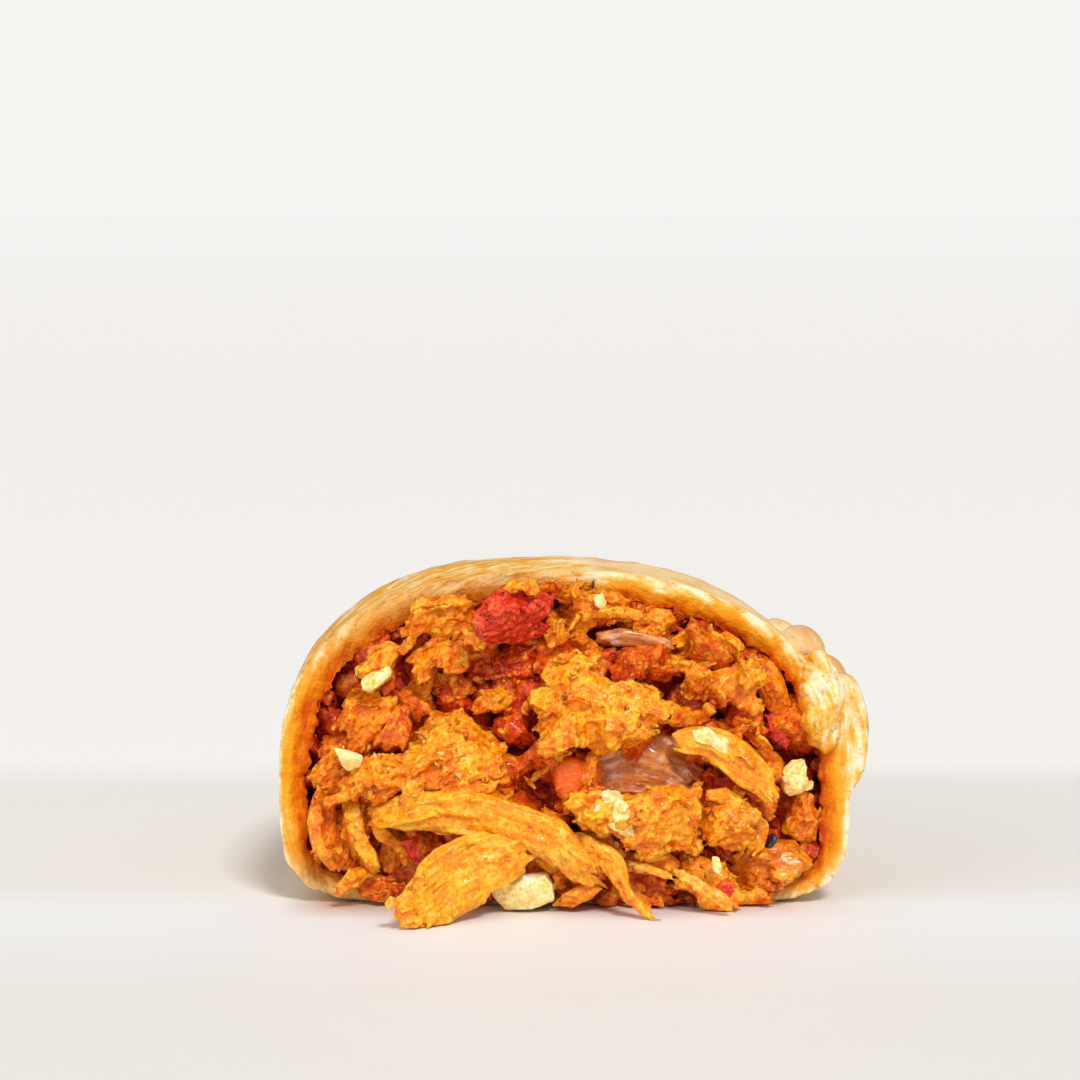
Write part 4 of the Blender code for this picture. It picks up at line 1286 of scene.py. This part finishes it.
class EMPANADA_OT_crust(bpy.types.Operator):
    """Bakes the dough: the roped, blistered skin and the ragged edge of the cut"""

    bl_idname = "empanada.crust"
    bl_label = "Crust"

    def execute(self, context):
        crust = remeshed_copy("crust", "crust_baked", context.scene.empanada.crust_voxel)
        soften(crust, 2)
        apply_all(crust)
        self.refine(crust)
        self.tear(crust)
        self.blister(crust)
        self.stain(crust)
        put(crust, "dough", dough_look(*palette(context, "dough")), "crust")
        return {"FINISHED"}

    def blister(self, crust):
        """Raises swells and blisters on the skin, which fade out at the cut."""
        before, _ = arrays(crust)
        clouds(crust, 9.0 * MM, 0.7 * MM, 2)
        clouds(crust, 2.4 * MM, 0.28 * MM, 3)
        apply_all(crust)
        points, _ = arrays(crust)
        ring = np.clip(1.6 - (before[:, 1] - CUT_Y) / MM, 0.0, 0.65)
        set_points(crust, points + (before - points) * ring[:, None])

    def refine(self, crust):
        """Halves the quads near the cut, where the torn edge needs them."""
        bpy.context.tool_settings.mesh_select_mode = (False, False, True)
        bpy.ops.object.mode_set(mode="EDIT")
        bpy.ops.mesh.select_all(action="DESELECT")
        bpy.ops.object.mode_set(mode="OBJECT")
        for polygon in crust.data.polygons:
            polygon.select = polygon.center.y < CUT_Y + 3.5 * MM
        bpy.ops.object.mode_set(mode="EDIT")
        bpy.ops.mesh.subdivide()
        bpy.ops.object.mode_set(mode="OBJECT")

    def tear(self, crust):
        """Draws the inner edge of the ring back and outwards, unevenly, so that it slopes into the half."""
        points, _ = arrays(crust)
        bearing, reach, depth = polar(points)
        depth = self.sharpen(points, bearing, depth)

        # The slope of the edge, which pushes it outwards and back.
        fade = np.clip(1.0 - depth / EDGE_DEPTH, 0.0, 1.0) ** 2 * np.clip(1.0 + (depth / MM + 0.5) / 0.5, 0.0, 1.0)
        inward = np.clip(1.6 * ring_share(bearing, reach) - 0.6, 0.0, 1.0) ** 1.4 * fade
        circle = np.column_stack((20.0 * np.cos(bearing), 20.0 * np.sin(bearing), np.zeros_like(bearing)))
        ragged = np.array([0.75 * MM * noise.fractal(Vector(spot) / 1.3, 0.7, 2.1, 3) for spot in circle])
        push = inward * (edge_push(bearing, np.zeros_like(depth)) + ragged)
        points[:, 0] += push * np.cos(bearing)
        points[:, 2] += push * np.sin(bearing)
        points[:, 1] += inward * 1.0 * MM + fade * 0.15 * waves(bearing, 9, 6, 40) * MM

        # Streaks in the face of the cut, which follow the ring.
        near = np.flatnonzero(depth < 3.0 * MM)
        spots = self.wound(bearing, reach, depth)[near] / (2.2 * MM)
        streaks = np.array([noise.fractal(Vector(spot), 0.6, 2.1, 3) for spot in spots])
        points[near, 1] += 0.2 * MM * streaks * np.clip(1.0 - depth[near] / (3.0 * MM), 0.0, 1.0)
        set_points(crust, points)
        self.crease_lump(crust)

    def crease_lump(self, crust):
        """Roughens and creases the lump of dough that stands before the cut."""
        points, _ = arrays(crust)
        normals = normals_of(crust)
        proud = np.clip((CUT_Y - 0.3 * MM - points[:, 1]) / (0.8 * MM), 0.0, 1.0)
        lump = np.flatnonzero(proud > 0.0)
        for grain, depth in ((3.0, 0.8), (1.2, 0.5), (0.5, 0.2)):
            rough = np.array([noise.turbulence(Vector(points[i] / (grain * MM)), 2, True) for i in lump])
            points[lump] += normals[lump] * (depth * MM * (rough - 0.5) * proud[lump])[:, None]
        set_points(crust, points)

    def sharpen(self, points, bearing, depth):
        """Draws the rounded edges of the ring forwards and levels them at the cut, as a knife leaves them."""
        wall = np.interp(bearing, BEARINGS, OUTER_REACH) - np.interp(bearing, BEARINGS, INNER_REACH)
        drawn = depth - 1.4 * MM * np.clip(1.0 - depth / (2.0 * MM), 0.0, 1.0)
        ring = (wall < 3.4 * MM) & (depth > -0.35 * MM)
        depth = np.where(ring, np.maximum(drawn, 0.0), depth)
        points[:, 1] = CUT_Y + depth
        return depth

    def stain(self, crust):
        """Stores how deep the sauce has soaked, how raw the dough looks, which at the upper left is painted shadow,
        and how toasted it is.
        """
        points, _ = arrays(crust)
        normals = normals_of(crust)
        bearing, reach, depth = polar(points)
        degrees, _, shifts, raw_and_shadow_by_bearing = np.array(RING).T

        # Which way the dough faces: at the filling and the cut, or outwards and back.
        out = normals[:, 0] * np.cos(bearing) + normals[:, 2] * np.sin(bearing)
        inside = np.clip(-normals[:, 1], 0.0, 1.0) ** 2 + np.clip(-out, 0.0, 1.0) ** 2
        skin = np.clip(out, 0.0, 1.0) ** 2 + np.clip(normals[:, 1], 0.0, 1.0) ** 2
        facing = np.maximum(inside / (inside + skin + 1e-6), np.clip(1.4 - depth / (0.5 * MM), 0.0, 1.0))

        # The sauce: across the cut, on the lining behind it, on the lump and as oil along the top.
        share = ring_share(bearing, reach)
        shift = np.interp(np.degrees(bearing), degrees, shifts) * np.clip(4.0 * share, 0.0, 1.0)
        lining = np.clip((depth / MM - 1.6) / 2.6, 0.0, 1.0) * np.clip(-out * 3.0, 0.0, 1.0)
        soak = (np.clip(share + shift, 0.12, 1.0) * 0.8 + 0.2 * lining) * facing
        soak *= ((share > 0.02) | (depth < 0.8 * MM)) * np.clip(2.5 - depth / (4.0 * MM), 0.0, 1.0)
        soak = np.where(depth < -0.6 * MM, self.lump_stain(points), soak)
        oily = np.interp(np.degrees(bearing), (84, 100, 150, 172), (0.0, 0.22, 0.22, 0.0))
        soak = np.maximum(soak, oily * np.clip(2.0 - depth / (10.0 * MM), 0.0, 1.0))
        write_value(crust, "soak", np.clip(soak, 0.0, 1.0))
        # Greyer, raw dough; at the upper left it is painted shadow.
        raw = np.interp(np.degrees(bearing), degrees, raw_and_shadow_by_bearing) * (1.0 - lining) * (0.25 + 0.75 * facing)
        write_value(crust, "raw", raw)

        # The rope of the seam is toasted on its upper side.
        rope = np.clip((points[:, 0] - 23.0 * MM) / (2.0 * MM), 0.0, 1.0) * np.clip(depth / MM, 0.0, 1.0)
        toast = rope * np.clip(0.3 + 0.9 * normals[:, 2], 0.0, 1.0) * np.clip(3.0 - depth / (12.0 * MM), 0.3, 1.0)
        write_value(crust, "toast", toast)
        write_vector(crust, "round", self.wound(bearing, reach, depth))

    def lump_stain(self, points):
        """The lump of dough before the cut is cream above, and stained by sauce below and towards the filling."""
        below = np.clip((23.2 * MM - points[:, 2]) / (2.5 * MM), 0.0, 1.0)
        aside = np.clip((25.4 * MM - points[:, 0]) / (1.6 * MM), 0.0, 1.0)
        foot = np.clip((17.6 * MM - points[:, 2]) / (1.6 * MM), 0.0, 1.0)
        return 0.08 + 0.12 * below + 0.26 * aside * (1.0 - 0.4 * below) + 0.22 * foot

    def wound(self, bearing, reach, depth):
        """Coordinates that run round the ring without a seam, for streaks that follow it."""
        rows = (25.0 * MM * np.cos(bearing), 25.0 * MM * np.sin(bearing), 6.0 * reach + 2.5 * depth)
        return np.column_stack(rows)


class EMPANADA_OT_core(bpy.types.Operator):
    """Lays the saucy heart of the filling behind the pieces, dark by painted shade"""

    bl_idname = "empanada.core"
    bl_label = "Saucy core"

    def execute(self, context):
        core = remeshed_copy("filling", "filling_core", 0.5 * MM)
        apply_all(core)

        # Its front falls back, to leave room for the pieces, and its sides swell against the dough.
        points, _ = arrays(core)
        front = np.clip((CUT_Y + 6 * MM - points[:, 1]) / (5 * MM), 0.0, 1.0)
        points[:, 1] += front * 1.2 * MM
        points += normals_of(core) * 0.4 * MM
        set_points(core, points)

        smooth_points, smooth_normals = points.copy(), normals_of(core)
        clouds(core, 4.5 * MM, 4.0 * MM, 1, hard=True)
        granules(core, 2.2 * MM, 1.2 * MM)
        clouds(core, 1.0 * MM, 0.8 * MM, 2, hard=True)
        apply_all(core)
        points, _ = arrays(core)
        relief = ((points - smooth_points) * smooth_normals).sum(1) / MM
        set_points(core, keep_inside(points))
        write_value(core, "tint", np.full(len(points), 0.35))
        write_vector(core, "flow", points)
        write_value(core, "relief", 0.35 * relief)
        # Its colours are the hollows' darker shades: painted shade.
        put(core, "filling", meat_look("sauce_core", *palette(context, "hollows"), 0.3), "filling")
        return {"FINISHED"}


# What the rows of heaped bits cover, in millimetres on the cut.
HEAP_WIDTH = 58.0
HEAP_HEIGHT = 31.0
HEAP_FOOT = 2.0


class EMPANADA_OT_shreds(bpy.types.Operator):
    """Piles crumbly blocks and shreds over the core, behind the pieces that stand out of the cut"""

    bl_idname = "empanada.shreds"
    bl_label = "Heaped blocks and shreds"

    def execute(self, context):
        widened = context.scene.empanada.spacing * MM
        blocks, shreds, coarse = block_kit(0.36), shred_kit(), block_kit(0.46, 0.9)
        chance = random.Random(41)
        look = meat_look("chicken_heap", *palette(context, "heap"))
        # The deepest layer takes the hollows' darker shades: painted shade.
        deep = meat_look("chicken_deep", *palette(context, "hollows"), 0.3)
        for name, kit, behind, spacing, size, spread in (
            ("heap_deep", coarse, 1.4, 4.0, 1.1, 0.8),
            ("heap_middle", blocks, 0.3, 4.4, 0.85, 0.9),
            ("heap_shreds", shreds, -0.4, 8.0, 0.7, 0.6),
        ):
            heap = self.layer(name, kit, chance, behind, spacing * widened, size, spread)
            put(heap, "chicken", deep if name == "heap_deep" else look)
        put(self.rim(coarse, chance), "chicken", meat_look("chicken_rim", *palette(context, "rim"), 0.3))
        put(self.spill(coarse, chance), "chicken", look)
        return {"FINISHED"}

    def layer(self, name, kit, chance, behind, gap, size, spread):
        """Bits laid unevenly in rows, so many millimetres behind the filling's face, but for its hollows."""
        heap = Heap(name)
        for row in range(int(HEAP_HEIGHT * MM / gap) + 1):
            for column in range(int(HEAP_WIDTH * MM / gap) + 1):
                x = -0.5 * HEAP_WIDTH * MM + (column + chance.uniform(-0.4, 0.4)) * gap
                z = HEAP_FOOT * MM + (row + chance.uniform(-0.4, 0.4)) * gap
                reach = math.hypot(x - HEART.x, z - HEART.z)
                bearing = math.atan2(z - HEART.z, x - HEART.x)
                if reach > np.interp(bearing, BEARINGS, INNER_REACH) - 0.4 * MM:
                    continue
                clear = min(math.hypot(x / MM - far_x, z / MM - far_z) - extent for far_x, far_z, extent in HOLLOWS)
                if clear < 0.8 and behind < 1.0:
                    continue
                y = face_front(x, z) + (behind + chance.uniform(-spread, spread)) * MM
                y += 2.6 * MM * max(0.0, min(1.0, 1.0 - clear))
                turn, tip, roll = chance.gauss(-15, 50), chance.uniform(-30, 30), chance.uniform(-50, 50)
                scale = size * chance.uniform(0.75, 1.2)
                heap.lay(chance.choice(kit), (x, y, z), turn, tip, roll, scale, chance.random())
        return heap.join()

    def spill(self, blocks, chance):
        """Bits that have fallen over the dough at the foot of the cut."""
        heap = Heap("heap_spill")
        for x in np.arange(-21.0, 21.5, 1.3):
            size = chance.uniform(0.35, 0.62)
            aside, before, above = chance.uniform(-0.5, 0.5), 0.4 + chance.uniform(0.0, 1.5), chance.random() ** 2
            spot = place(x + aside, -before, 0.7 + 1.8 * above)
            turn, tip = chance.uniform(-40, 40), chance.uniform(-40, 40)
            heap.lay(chance.choice(blocks[6:]), spot, turn, tip, 0.0, size, 0.6 * chance.random())
        return heap.join()

    def rim(self, blocks, chance):
        """Small saucy bits that cling to the dough all round the filling."""
        heap = Heap("heap_rim")
        for bearing in np.arange(-math.pi, math.pi, 0.11):
            inner = np.interp(bearing, BEARINGS, INNER_REACH)
            for depth in (2.8, 4.6):
                reach = inner - chance.uniform(-0.4, 0.9) * MM
                along = bearing + chance.uniform(-0.04, 0.04)
                spot = (
                    HEART.x + reach * math.cos(along), CUT_Y + (depth + chance.uniform(-0.9, 0.6)) * MM,
                    HEART.z + reach * math.sin(along),
                )
                turn = math.degrees(along) + 90.0 + chance.gauss(0.0, 25.0)
                size = chance.uniform(0.3, 0.6)
                heap.lay(chance.choice(blocks[6:]), spot, turn, chance.uniform(-30, 30), 0.0, size, chance.random())
        return heap.join()


class EMPANADA_OT_chunks(bpy.types.Operator):
    """Models the pieces of chicken that stand out of the cut, the larger ones in place of their CAD solids"""

    bl_idname = "empanada.chunks"
    bl_label = "Torn chicken"

    def execute(self, context):
        look = meat_look("chicken_bright", *palette(context, "chunks"))
        for seed, (node, (angle, fibre, grit, tint, outline)) in enumerate(CHICKEN_BLOCKS.items()):
            front, depth = cad_depth(node)
            bit = torn_block(outline, front, depth, seed + 1, angle, BLOCK_VOXEL, facets=5, fibre=fibre, grit=grit)
            put(in_place(node + "_torn", bit, tint), "chicken", look, node)
        shades = palette(context, "strips")
        smooth = meat_look(
            "chicken_strip", *shades, sauce=srgb(236, 116, 12), grease=srgb(255, 210, 96), rough=0.72
        )
        for seed, (node, (route, widths, thickness, tint)) in enumerate(STRIPS.items()):
            bit = shred_at_cut(
                route, widths, thickness, seed + 70, voxel=0.2, fibre=0.32, grit=0.14, ragged=1.0, drawn=7.0
            )
            put(in_place(node + "_torn", bit, tint), "chicken", smooth, node)
        heap = Heap("chicken_loose")
        for seed, (front, depth, angle, fibre, grit, tint, outline) in enumerate(LOOSE_BLOCKS.values()):
            bit = torn_block(outline, front, depth, seed + 30, angle, BLOCK_VOXEL, facets=4, fibre=fibre, grit=grit)
            heap.take(bit, tint)
        put(heap.join(), "chicken", look)
        heap = Heap("chicken_shreds")
        for seed, (front, width, thickness, tint, *spots) in enumerate(LOOSE_SHREDS):
            route = [(x, front + 0.8 * math.sin(2.3 * k + seed), z) for k, (x, z) in enumerate(spots)]
            widths = (0.8 * width, 1.2 * width, 1.1 * width, 0.7 * width)
            bit = shred_at_cut(route, widths, thickness, seed + 200, voxel=0.22, fibre=0.3, grit=0.35, ragged=0.8)
            heap.take(bit, tint)
        put(heap.join(), "chicken", look)
        return {"FINISHED"}


class EMPANADA_OT_garnish(bpy.types.Operator):
    """Makes the tomato, pepper, onion, olive and egg that show in the cut"""

    bl_idname = "empanada.garnish"
    bl_label = "Vegetables and egg"

    def execute(self, context):
        shades = {food: palette(context, food) for food in PALETTES}
        looks = {
            "tomato": meat_look("tomato", *shades["tomato"], 0.3, srgb(190, 16, 2), srgb(248, 140, 70), 0.8),
            "onion": flesh_look("onion", *shades["onion"], gloss=0.25, coat=0.9, fine_depth=0.08, painted_sheen=0.75),
            "egg": meat_look("egg", *shades["egg"], 0.4, srgb(250, 168, 40), srgb(255, 246, 214), 0.3),
            "filling": flesh_look("jelly", *shades["jelly"], gloss=0.3, coat=0.4),
            # The sauce look is the hollows' darker shades, painted shade for the dark tomato.
            "sauce": meat_look("dark_sauce", *shades["hollows"], 0.25),
            "pepper": flesh_look("pepper", *shades["pepper"], gloss=0.3, coat=0.25),
            "yolk": meat_look("yolk", *shades["yolk"], 0.4),
            "olive": flesh_look("olive", *shades["olive"], gloss=0.15, coat=0.6),
        }
        for seed, (node, (slot, fibre, grit, facets, outline)) in enumerate(VEGETABLE_NODES.items()):
            bit = self.piece(slot, *cad_depth(node), fibre, grit, facets, outline, seed + 400)
            put(in_place(node + "_soft", bit, 0.5), slot, looks[slot], node)
        heaps = {slot: Heap(slot + "_bits") for slot in looks}
        for seed, (name, (front, depth, grit, facets, outline)) in enumerate(EGG_DICE.items()):
            bit = torn_block(outline, front, depth, seed + 300, 0.0, 0.2, facets, fibre=0.0, grit=grit)
            bit.flow = bit.points.copy()
            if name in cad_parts:
                tint = 0.9 if name == "egg_front" else 0.3
                put(in_place(name + "_soft", bit, tint), "egg", looks["egg"], name)
            else:
                heaps["egg"].take(bit, 0.45)
        for seed, (slot, front, depth, fibre, grit, facets, outline) in enumerate(LOOSE_VEGETABLES.values()):
            heaps[slot].take(self.piece(slot, front, depth, fibre, grit, facets, outline, seed + 500), 0.5)
        for seed, (route, widths, thickness) in enumerate(EGG_SLICES):
            bit = shred_at_cut(
                route, widths, thickness, seed + 600, voxel=0.2, fibre=0.3, grit=0.2, ragged=0.8, drawn=5.0
            )
            heaps["yolk"].take(bit, 0.8)
        slots = {"tomato": "tomato", "onion": "onion", "egg": "egg", "yolk": "egg"}
        for slot, heap in heaps.items():
            if heap.count:
                put(heap.join(), slots.get(slot, "filling"), looks[slot])
        return {"FINISHED"}

    def piece(self, slot, front, depth, fibre, grit, facets, outline, seed):
        """Onion is a limp, ridged layer, and all other vegetables are soft blocks."""
        if slot == "onion":
            return onion_layer(outline, front, depth, seed, -6.0)
        return torn_block(outline, front, depth, seed, 0.0, 0.25, facets, fibre, grit)


class EMPANADA_OT_crumbs(bpy.types.Operator):
    """Scatters crumbs of meat and egg over everything in the cut"""

    bl_idname = "empanada.crumbs"
    bl_label = "Crumbs"

    def execute(self, context):
        settings = context.scene.empanada
        kit = self.kit()
        bare = ("crust", "onion", "chicken_flap", "chicken_long", "chicken_right", "tomato_chunk", "egg")
        ground = Ground([piece for piece in FOOD if not piece.name.startswith(bare)])
        for name, slot, seed, amount, food, places in (
            ("chicken_crumbs", "chicken", 3, settings.crumbs, "heap", ()),
            ("egg_crumbs", "egg", 8, settings.crumbs // 3, "yolk", EGG_CRUMB_PLACES),
        ):
            chance = random.Random(seed)
            heap = Heap(name)
            while heap.count < amount * len(kit[0][0]):
                x, z = chance.choice(places) if places else (chance.uniform(-27, 27), chance.uniform(1.5, 33.5))
                self.cluster(heap, kit, ground, chance, x * MM, z * MM)
            put(heap.join(), slot, meat_look(name, *palette(context, food), 0.5))
        return {"FINISHED"}

    def kit(self):
        """Crumbs of a few shapes, each with few faces, of about a millimetre."""
        crumbs = []
        for seed in range(6):
            bpy.ops.object.select_all(action="DESELECT")
            bpy.ops.mesh.primitive_cube_add(size=1.0)
            crumb = bpy.context.object
            bpy.ops.object.mode_set(mode="EDIT")
            bpy.ops.mesh.select_all(action="SELECT")
            bpy.ops.mesh.subdivide(number_cuts=1, smoothness=0.3)
            bpy.ops.transform.vertex_random(offset=0.35, seed=seed)
            bpy.ops.object.mode_set(mode="OBJECT")
            points, triangles = arrays(crumb)
            discard(crumb)
            points -= points.mean(0)
            crumbs.append((points / np.abs(points).max() * 0.5 * MM, triangles))
        return crumbs

    def cluster(self, heap, kit, ground, chance, x, z):
        """Drops a few crumbs close together."""
        for _ in range(chance.randint(3, 9)):
            spot, normal = ground.touch(x + chance.gauss(0.0, 1.6) * MM, z + chance.gauss(0.0, 1.3) * MM)
            if spot is None:
                continue
            points, triangles = chance.choice(kit)
            size = 0.45 + 0.75 * chance.random() ** 2.0
            turn = Matrix.Rotation(chance.uniform(0.0, math.tau), 3, (chance.gauss(0, 1), chance.gauss(0, 1), 1.0))
            flat = np.array((chance.uniform(0.8, 1.9), chance.uniform(0.5, 1.0), chance.uniform(0.4, 0.8)))
            laid = (points * flat * size) @ np.array(turn).T + np.array(spot - normal * 0.1 * size * MM)
            heap.pile(laid, triangles, 0.2, chance.uniform(0.45, 1.0), laid)


# How wide the surface is, in metres, so that it ends beyond where it has faded out.
SURFACE_WIDTH = 60.0

# What the camera looks at, in millimetres on the cut.
AIM = (-3.62, 0.0, 38.64)

# The suns: the way to each, and how many degrees it spans.
SUNS = {"key": ((0.25, -0.85, 0.85), 14.0), "fill": ((-0.8, -0.8, 0.45), 40.0)}

# How much of the surround wet food doesn't mirror, so that it keeps its colour.
UNMIRRORED = 0.8


class EMPANADA_OT_stage(bpy.types.Operator):
    """Sets the pale surface, the soft lights and the camera"""

    bl_idname = "empanada.stage"
    bl_label = "Studio"

    def execute(self, context):
        studio = context.scene.studio
        self.floor(studio)
        self.lights(context, studio)
        self.camera(context, studio)
        return {"FINISHED"}

    def floor(self, studio):
        """A pale surface that is painted in tones by how far it lies behind the cut, with painted light just before
        the cut and a painted shadow at its foot.
        """
        bpy.ops.object.select_all(action="DESELECT")
        bpy.ops.mesh.primitive_plane_add(size=SURFACE_WIDTH, location=(0.0, 0.0, 0.0))
        floor = bpy.context.object
        floor.name = "floor"
        look = Look("floor")

        def behind_cut(start, end, most=1.0):
            """Rises from 0 to that much between two distances behind the cut, in millimetres."""
            return look.fit(look.axis("Y"), CUT_Y + start * MM, CUT_Y + end * MM, 0.0, most)

        # Painted light: a brighter, cooler strip of surface just before the cut, which fades back behind it.
        colour = look.mix(behind_cut(-45, -12), tuple(studio.surface), tuple(studio.painted_light_strip))
        colour = look.mix(behind_cut(-2, 10), colour, tuple(studio.surface))
        colour = look.mix(behind_cut(84, 102), colour, tuple(studio.behind))
        colour = look.mix(look.fit(look.axis("Y"), 0.5, 6.0), colour, tuple(studio.skyline))

        # A painted shadow, warm with the food's colour, at the foot of the cut, which fades out before it, behind it
        # and to both sides.
        foot = look.times(behind_cut(-9, -1, 0.85), behind_cut(9, 1))
        for outer, inner in ((-31, -26), (31, 0)):
            foot = look.times(foot, look.fit(look.axis("X"), outer * MM, inner * MM))
        colour = look.mix(foot, colour, tuple(studio.foot))
        look.bump((look.noise(0.6, 2.0), 0.004))
        floor.data.materials.append(look.finish(colour, 0.6))

    def lights(self, context, studio):
        """A white surround, brighter to the camera and darker in what wet food mirrors, and two suns."""
        world = bpy.data.worlds.new("studio")
        world.use_nodes = True
        nodes, links = world.node_tree.nodes, world.node_tree.links
        background = nodes["Background"]
        background.inputs["Color"].default_value = (*studio.light, 1.0)
        strength = nodes.new("ShaderNodeMapRange")
        strength.inputs["To Min"].default_value = studio.world
        strength.inputs["To Max"].default_value = studio.backdrop
        path = nodes.new("ShaderNodeLightPath")
        links.new(path.outputs["Is Camera Ray"], strength.inputs["Value"])
        dim = nodes.new("ShaderNodeMath")
        dim.operation = "MULTIPLY_ADD"
        dim.inputs[1].default_value = -UNMIRRORED * studio.world
        links.new(path.outputs["Is Glossy Ray"], dim.inputs[0])
        links.new(strength.outputs["Result"], dim.inputs[2])
        links.new(dim.outputs["Value"], background.inputs["Strength"])
        context.scene.world = world
        for name, (way, spread) in SUNS.items():
            light = bpy.data.lights.new(name, "SUN")
            light.energy = getattr(studio, name)
            light.angle = math.radians(spread)
            lamp = bpy.data.objects.new(name, light)
            lamp.location = way
            lamp.rotation_euler = Vector(way).to_track_quat("Z", "Y").to_euler()
            context.scene.collection.objects.link(lamp)

    def camera(self, context, studio):
        """Looks at the cut from a little above it, square to the half."""
        lens = bpy.data.cameras.new("camera")
        lens.sensor_width = 36.0
        lens.lens = lens.sensor_width * studio.distance / studio.framed_width
        lens.clip_start = 0.01
        camera = bpy.data.objects.new("camera", lens)
        back = Vector((0.0, -math.cos(studio.pitch), math.sin(studio.pitch)))
        camera.location = place(*AIM) + back * studio.distance
        camera.rotation_euler = (math.radians(90.0) - studio.pitch, 0.0, 0.0)
        context.scene.collection.objects.link(camera)
        context.scene.camera = camera
        context.scene.view_settings.view_transform = "Standard"


class EMPANADA_PT_panel(bpy.types.Panel):
    """Lists the settings and the pieces of the half"""

    bl_idname = "EMPANADA_PT_panel"
    bl_label = "Empanada half"
    bl_space_type = "VIEW_3D"
    bl_region_type = "UI"
    bl_category = "Empanada"

    def draw(self, context):
        scene = context.scene
        for settings in (scene.empanada, scene.food_colours, scene.studio):
            for name in type(settings).__annotations__:
                self.layout.prop(settings, name)
        for operator in OPERATORS:
            self.layout.operator(operator.bl_idname)


OPERATORS = (
    EMPANADA_OT_crust,
    EMPANADA_OT_core,
    EMPANADA_OT_chunks,
    EMPANADA_OT_shreds,
    EMPANADA_OT_garnish,
    EMPANADA_OT_crumbs,
    EMPANADA_OT_stage,
)
CLASSES = (EmpanadaSettings, FoodColours, StudioSettings, *OPERATORS, EMPANADA_PT_panel)


def register():
    """Makes the settings, the operators and the panel known to Blender."""
    for a_class in CLASSES:
        bpy.utils.register_class(a_class)
    bpy.types.Scene.empanada = bpy.props.PointerProperty(type=EmpanadaSettings)
    bpy.types.Scene.food_colours = bpy.props.PointerProperty(type=FoodColours)
    bpy.types.Scene.studio = bpy.props.PointerProperty(type=StudioSettings)


def unregister():
    """Takes back what register made known."""
    del bpy.types.Scene.studio
    del bpy.types.Scene.food_colours
    del bpy.types.Scene.empanada
    for a_class in reversed(CLASSES):
        bpy.utils.unregister_class(a_class)


def main():
    """Builds the studio and the food."""
    register()
    bpy.ops.empanada.stage()
    bpy.ops.empanada.crust()
    bpy.ops.empanada.core()
    bpy.ops.empanada.chunks()
    bpy.ops.empanada.shreds()
    bpy.ops.empanada.garnish()
    bpy.ops.empanada.crumbs()


if __name__ == "__main__":
    main()
